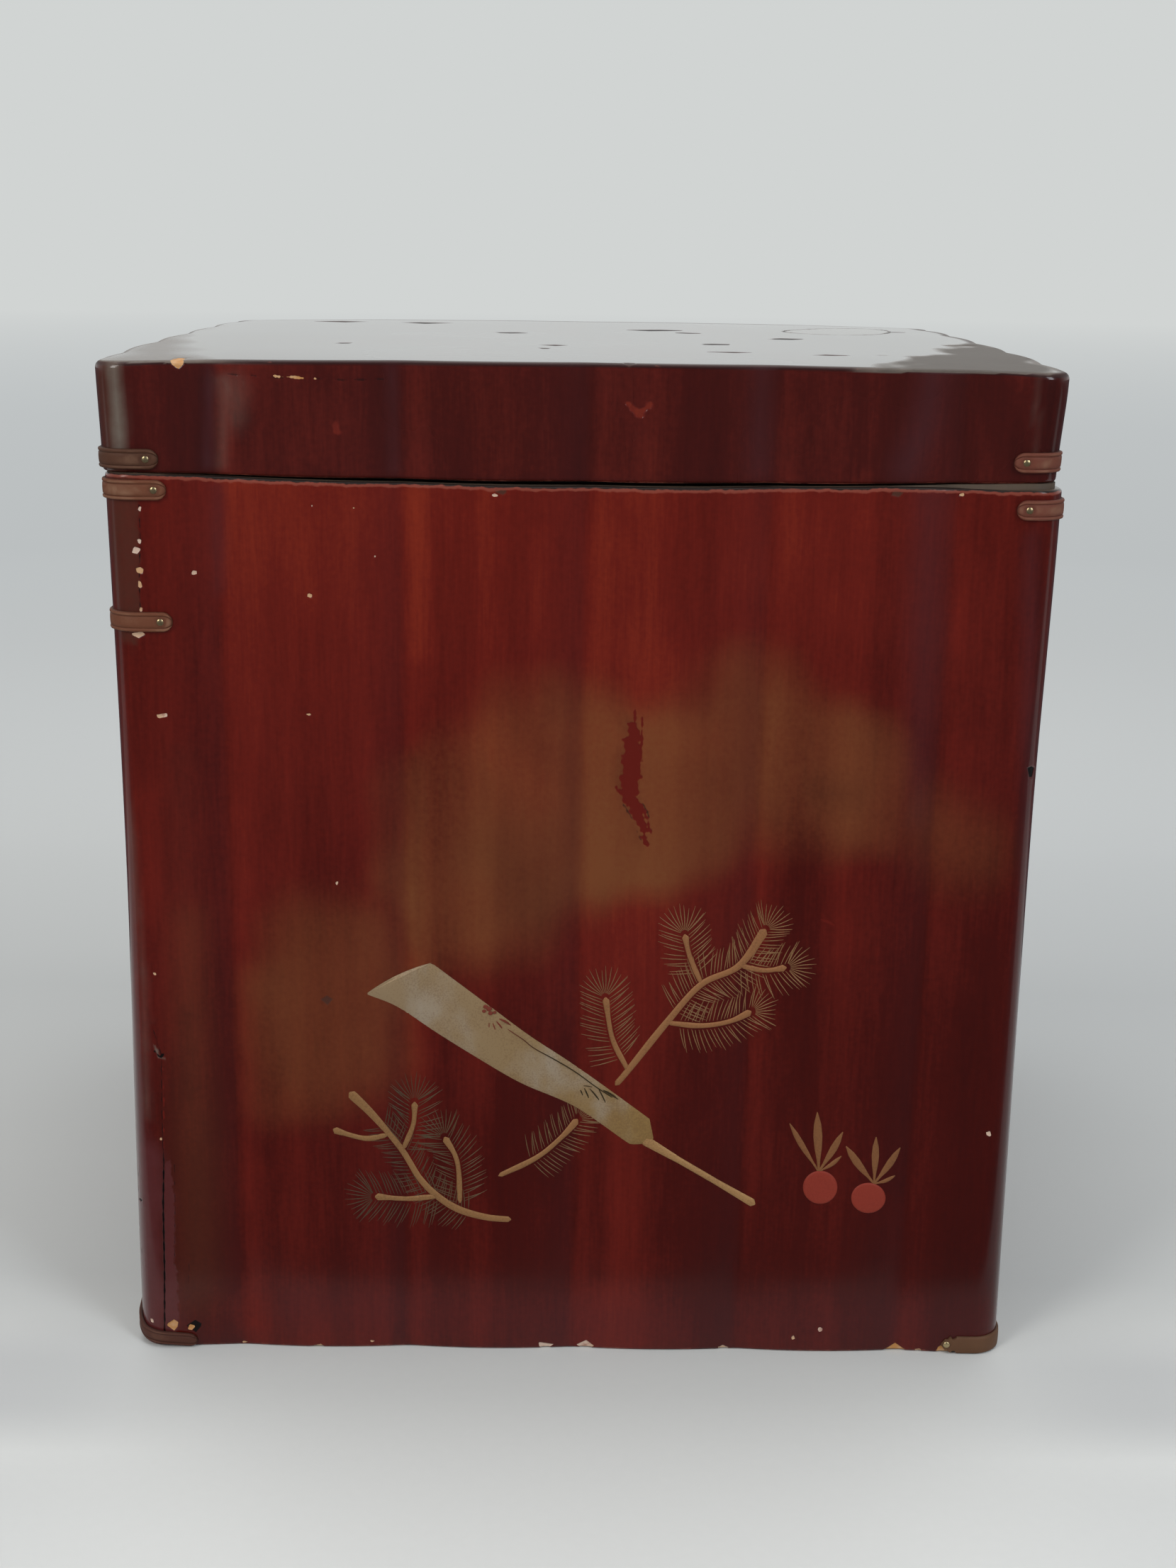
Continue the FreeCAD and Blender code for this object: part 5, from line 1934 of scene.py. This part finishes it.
def lid_marks(wear: PhotoWear) -> list[Mark]:
    """Gives the wear of the lid's front and of its top, which has dull wedges, flakes and a blister, with
    painted highlights, shade and reflections on the front.
    """
    corner = (236, 507, 259, 508, 257, 514, 252, 522, 246, 518)
    marks = wear.trails(LID_TRAILS)
    marks.append(wear.area("wood", corner, depth=0.35, soft=0.3, ragged=0.15))
    wedges = (
        (1190, 519, 1290, 509, 1250, 502, 1335, 499, 1310, 492, 1400, 482, 1470, 505, 1500, 522),
        (110, 525, 175, 478, 240, 455, 310, 458, 260, 480, 330, 509),
    )
    for seed, (wedge, ash) in enumerate(zip(wedges, (1.0, 0.7))):
        flat, soft = wear.above(wedge), 5.0 + 7.0 * seed
        for kind, strength in (("dull", ash), ("ash", ash), ("crack", 0.5 * ash * (1 - seed))):
            marks.append(Mark(kind, flat, 0.0, 0.0, soft, strength, 3.0, True, Plane.TOP, seed))
    flakes = (
        (440, 452, 520, 454), (560, 455, 640, 456), (460, 447, 475, 448), (760, 487, 800, 488),
        (765, 492, 775, 492), (1090, 478, 1130, 480), (880, 512, 896, 512), (1252, 468, 1279, 469),
        (700, 470, 740, 470), (1322, 487, 1383, 488), (950, 470, 990, 471), (990, 486, 1030, 487),
        (1000, 497, 1060, 498), (480, 484, 487, 485), (885, 466, 960, 467), (1150, 500, 1200, 503),
    )
    for seed, path in enumerate(flakes):
        ends = np.array(wear.above(path))
        place = {"plane": Plane.TOP, "seed": seed}
        place["size"] = (0.5 * float(np.linalg.norm(ends[1] - ends[0])), 2.2 + 1.1 * (seed % 3))
        centre = (tuple(ends.mean(axis=0)),)
        marks.append(Mark("stain", centre, 1.0, 0.25, 0.5, 0.9, **place))
        marks.append(Mark("dull", centre, 1.0, 0.0, 0.5, 1.0, **place))
        marks.append(Mark("crack", centre, 1.0, 0.0, 0.5, 0.55 + 0.15 * (seed % 3), **place))
    turns = np.linspace(0, math.tau, 25)
    outline = [1180 + 75 * np.cos(turns), 468 + 5.0 * np.sin(turns) * (1 + 0.3 * np.cos(turns))]
    lens = wear.above(np.stack(outline, axis=1))
    marks.append(Mark("crack", lens, (0.3, 0.8, 0.4), 0.3, 0.4, 1.0, 0.3, plane=Plane.TOP, seed=3))
    for kind, strength in (("ash", 0.6), ("dull", 0.35)):
        marks.append(Mark(kind, lens, 0.0, 0.0, 2.0, strength, 0.6, True, Plane.TOP))
    return marks


def main() -> None:
    """Builds the scene."""
    logging.basicConfig(level=logging.INFO, format="%(message)s")
    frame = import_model()
    camera = PhotoCamera()
    camera.make()
    bowed = Sway((0, 60, 150, 240, 303), (0.0, -0.5, -0.8, -0.5, 0.0))
    body_skin = Skin(150.75, {
        Side.RIGHT: Sway((0, 90, 171, 210, 248, 285, 303), (-1.3, -1.3, -1.3, -1.1, -0.2, 0.55, 0.65)),
        Side.LEFT: Sway((0, 44, 87, 128, 168, 207, 244, 303), (0.6, 0.4, 0.0, -0.7, -1.2, -1.2, -1.0, -0.4)),
        Side.FRONT: bowed,
        Side.BACK: bowed,
    }, wander=(2.3, 0.016), settle=0.45)
    flare = Sway((302, 312, 330, 339), (-0.8, -0.3, 0.6, 0.8), 3.0)
    lid_skin = Skin(149.8, {
        Side.RIGHT: Sway((302, 312, 330, 339), (0.9, 1.3, 2.6, 2.8), 3.0),
        Side.LEFT: Sway((302, 312, 330, 339), (0.3, 0.35, 0.8, 1.0), 3.0),
        Side.FRONT: flare,
        Side.BACK: flare,
    }, shift=-1.2, wander=(2.2, 0.02), groove=2.3)
    body_wear = front_marks(PhotoWear(camera, body_skin)) + unseen_marks((1.0, 290.0), 11)
    BodyShell(body_skin, body_wear, RedLacquer("red_lacquer_body")).build()
    lid_wear = lid_marks(PhotoWear(camera, lid_skin)) + unseen_marks((304.0, 330.0), 23)
    lid_stops = inks((0.0, 42, 11, 9), (0.35, 66, 17, 13), (0.65, 97, 29, 21), (1.0, 130, 48, 29))
    lid_red = RedLacquer("red_lacquer_lid", stops=lid_stops, roughness=0.28, gloss=0.5)
    LidShell(lid_skin, lid_wear, lid_red).build()
    hides = {
        "left": {"base": ink(104, 60, 40), "dark": ink(52, 28, 20)},
        "right": {"base": ink(106, 57, 43), "dark": ink(52, 26, 20)},
        "lid": {"base": ink(80, 49, 34), "dark": ink(42, 26, 18), "pale": ink(126, 94, 74)},
        "torn": {"base": ink(98, 68, 47), "dark": ink(58, 38, 27), "pale": ink(128, 98, 76)},
        "foot": {"base": ink(76, 43, 33), "dark": ink(42, 24, 18), "pale": ink(112, 78, 62)},
    }
    leathers = {kind: Leather(f"strap_leather_{kind}", **hide) for kind, hide in hides.items()}
    StrapSet(body_skin, lid_skin).build(leathers, Brass("nail_brass"))
    Ornament(Relief(camera, body_skin)).build({
        "gold": RaisedPaint("gold_paint", left=ink(142, 105, 66), right=ink(148, 101, 64)),
        "handle": RaisedPaint("handle_paint", left=ink(160, 124, 80), right=ink(164, 126, 82)),
        "needle": RaisedPaint(
            "needle_paint", left=ink(68, 56, 40), right=ink(130, 96, 62), specks=0.45, metal=0.1,
        ),
        "silver": RaisedPaint(
            "silver_paint", left=ink(148, 126, 97), right=ink(138, 107, 56), specks=0.3, mottle=0.5,
        ),
        "leaf": RaisedPaint(
            "leaf_paint", left=ink(114, 44, 33), right=ink(38, 33, 12), metal=0.0, span=(-0.030, -0.006),
        ),
        "feather": RaisedPaint("feather_paint", left=ink(126, 82, 48), right=ink(126, 82, 48), metal=0.1),
        "coral": RaisedPaint(
            "coral_paint", left=ink(136, 43, 27), right=ink(132, 44, 29), speck=ink(112, 34, 22), specks=0.3,
            metal=0.0,
        ),
    })
    Interior(Board("wall_board"), BlackLacquer("black_lacquer")).dress(frame)
    Studio().build()


if __name__ == "__main__":
    main()
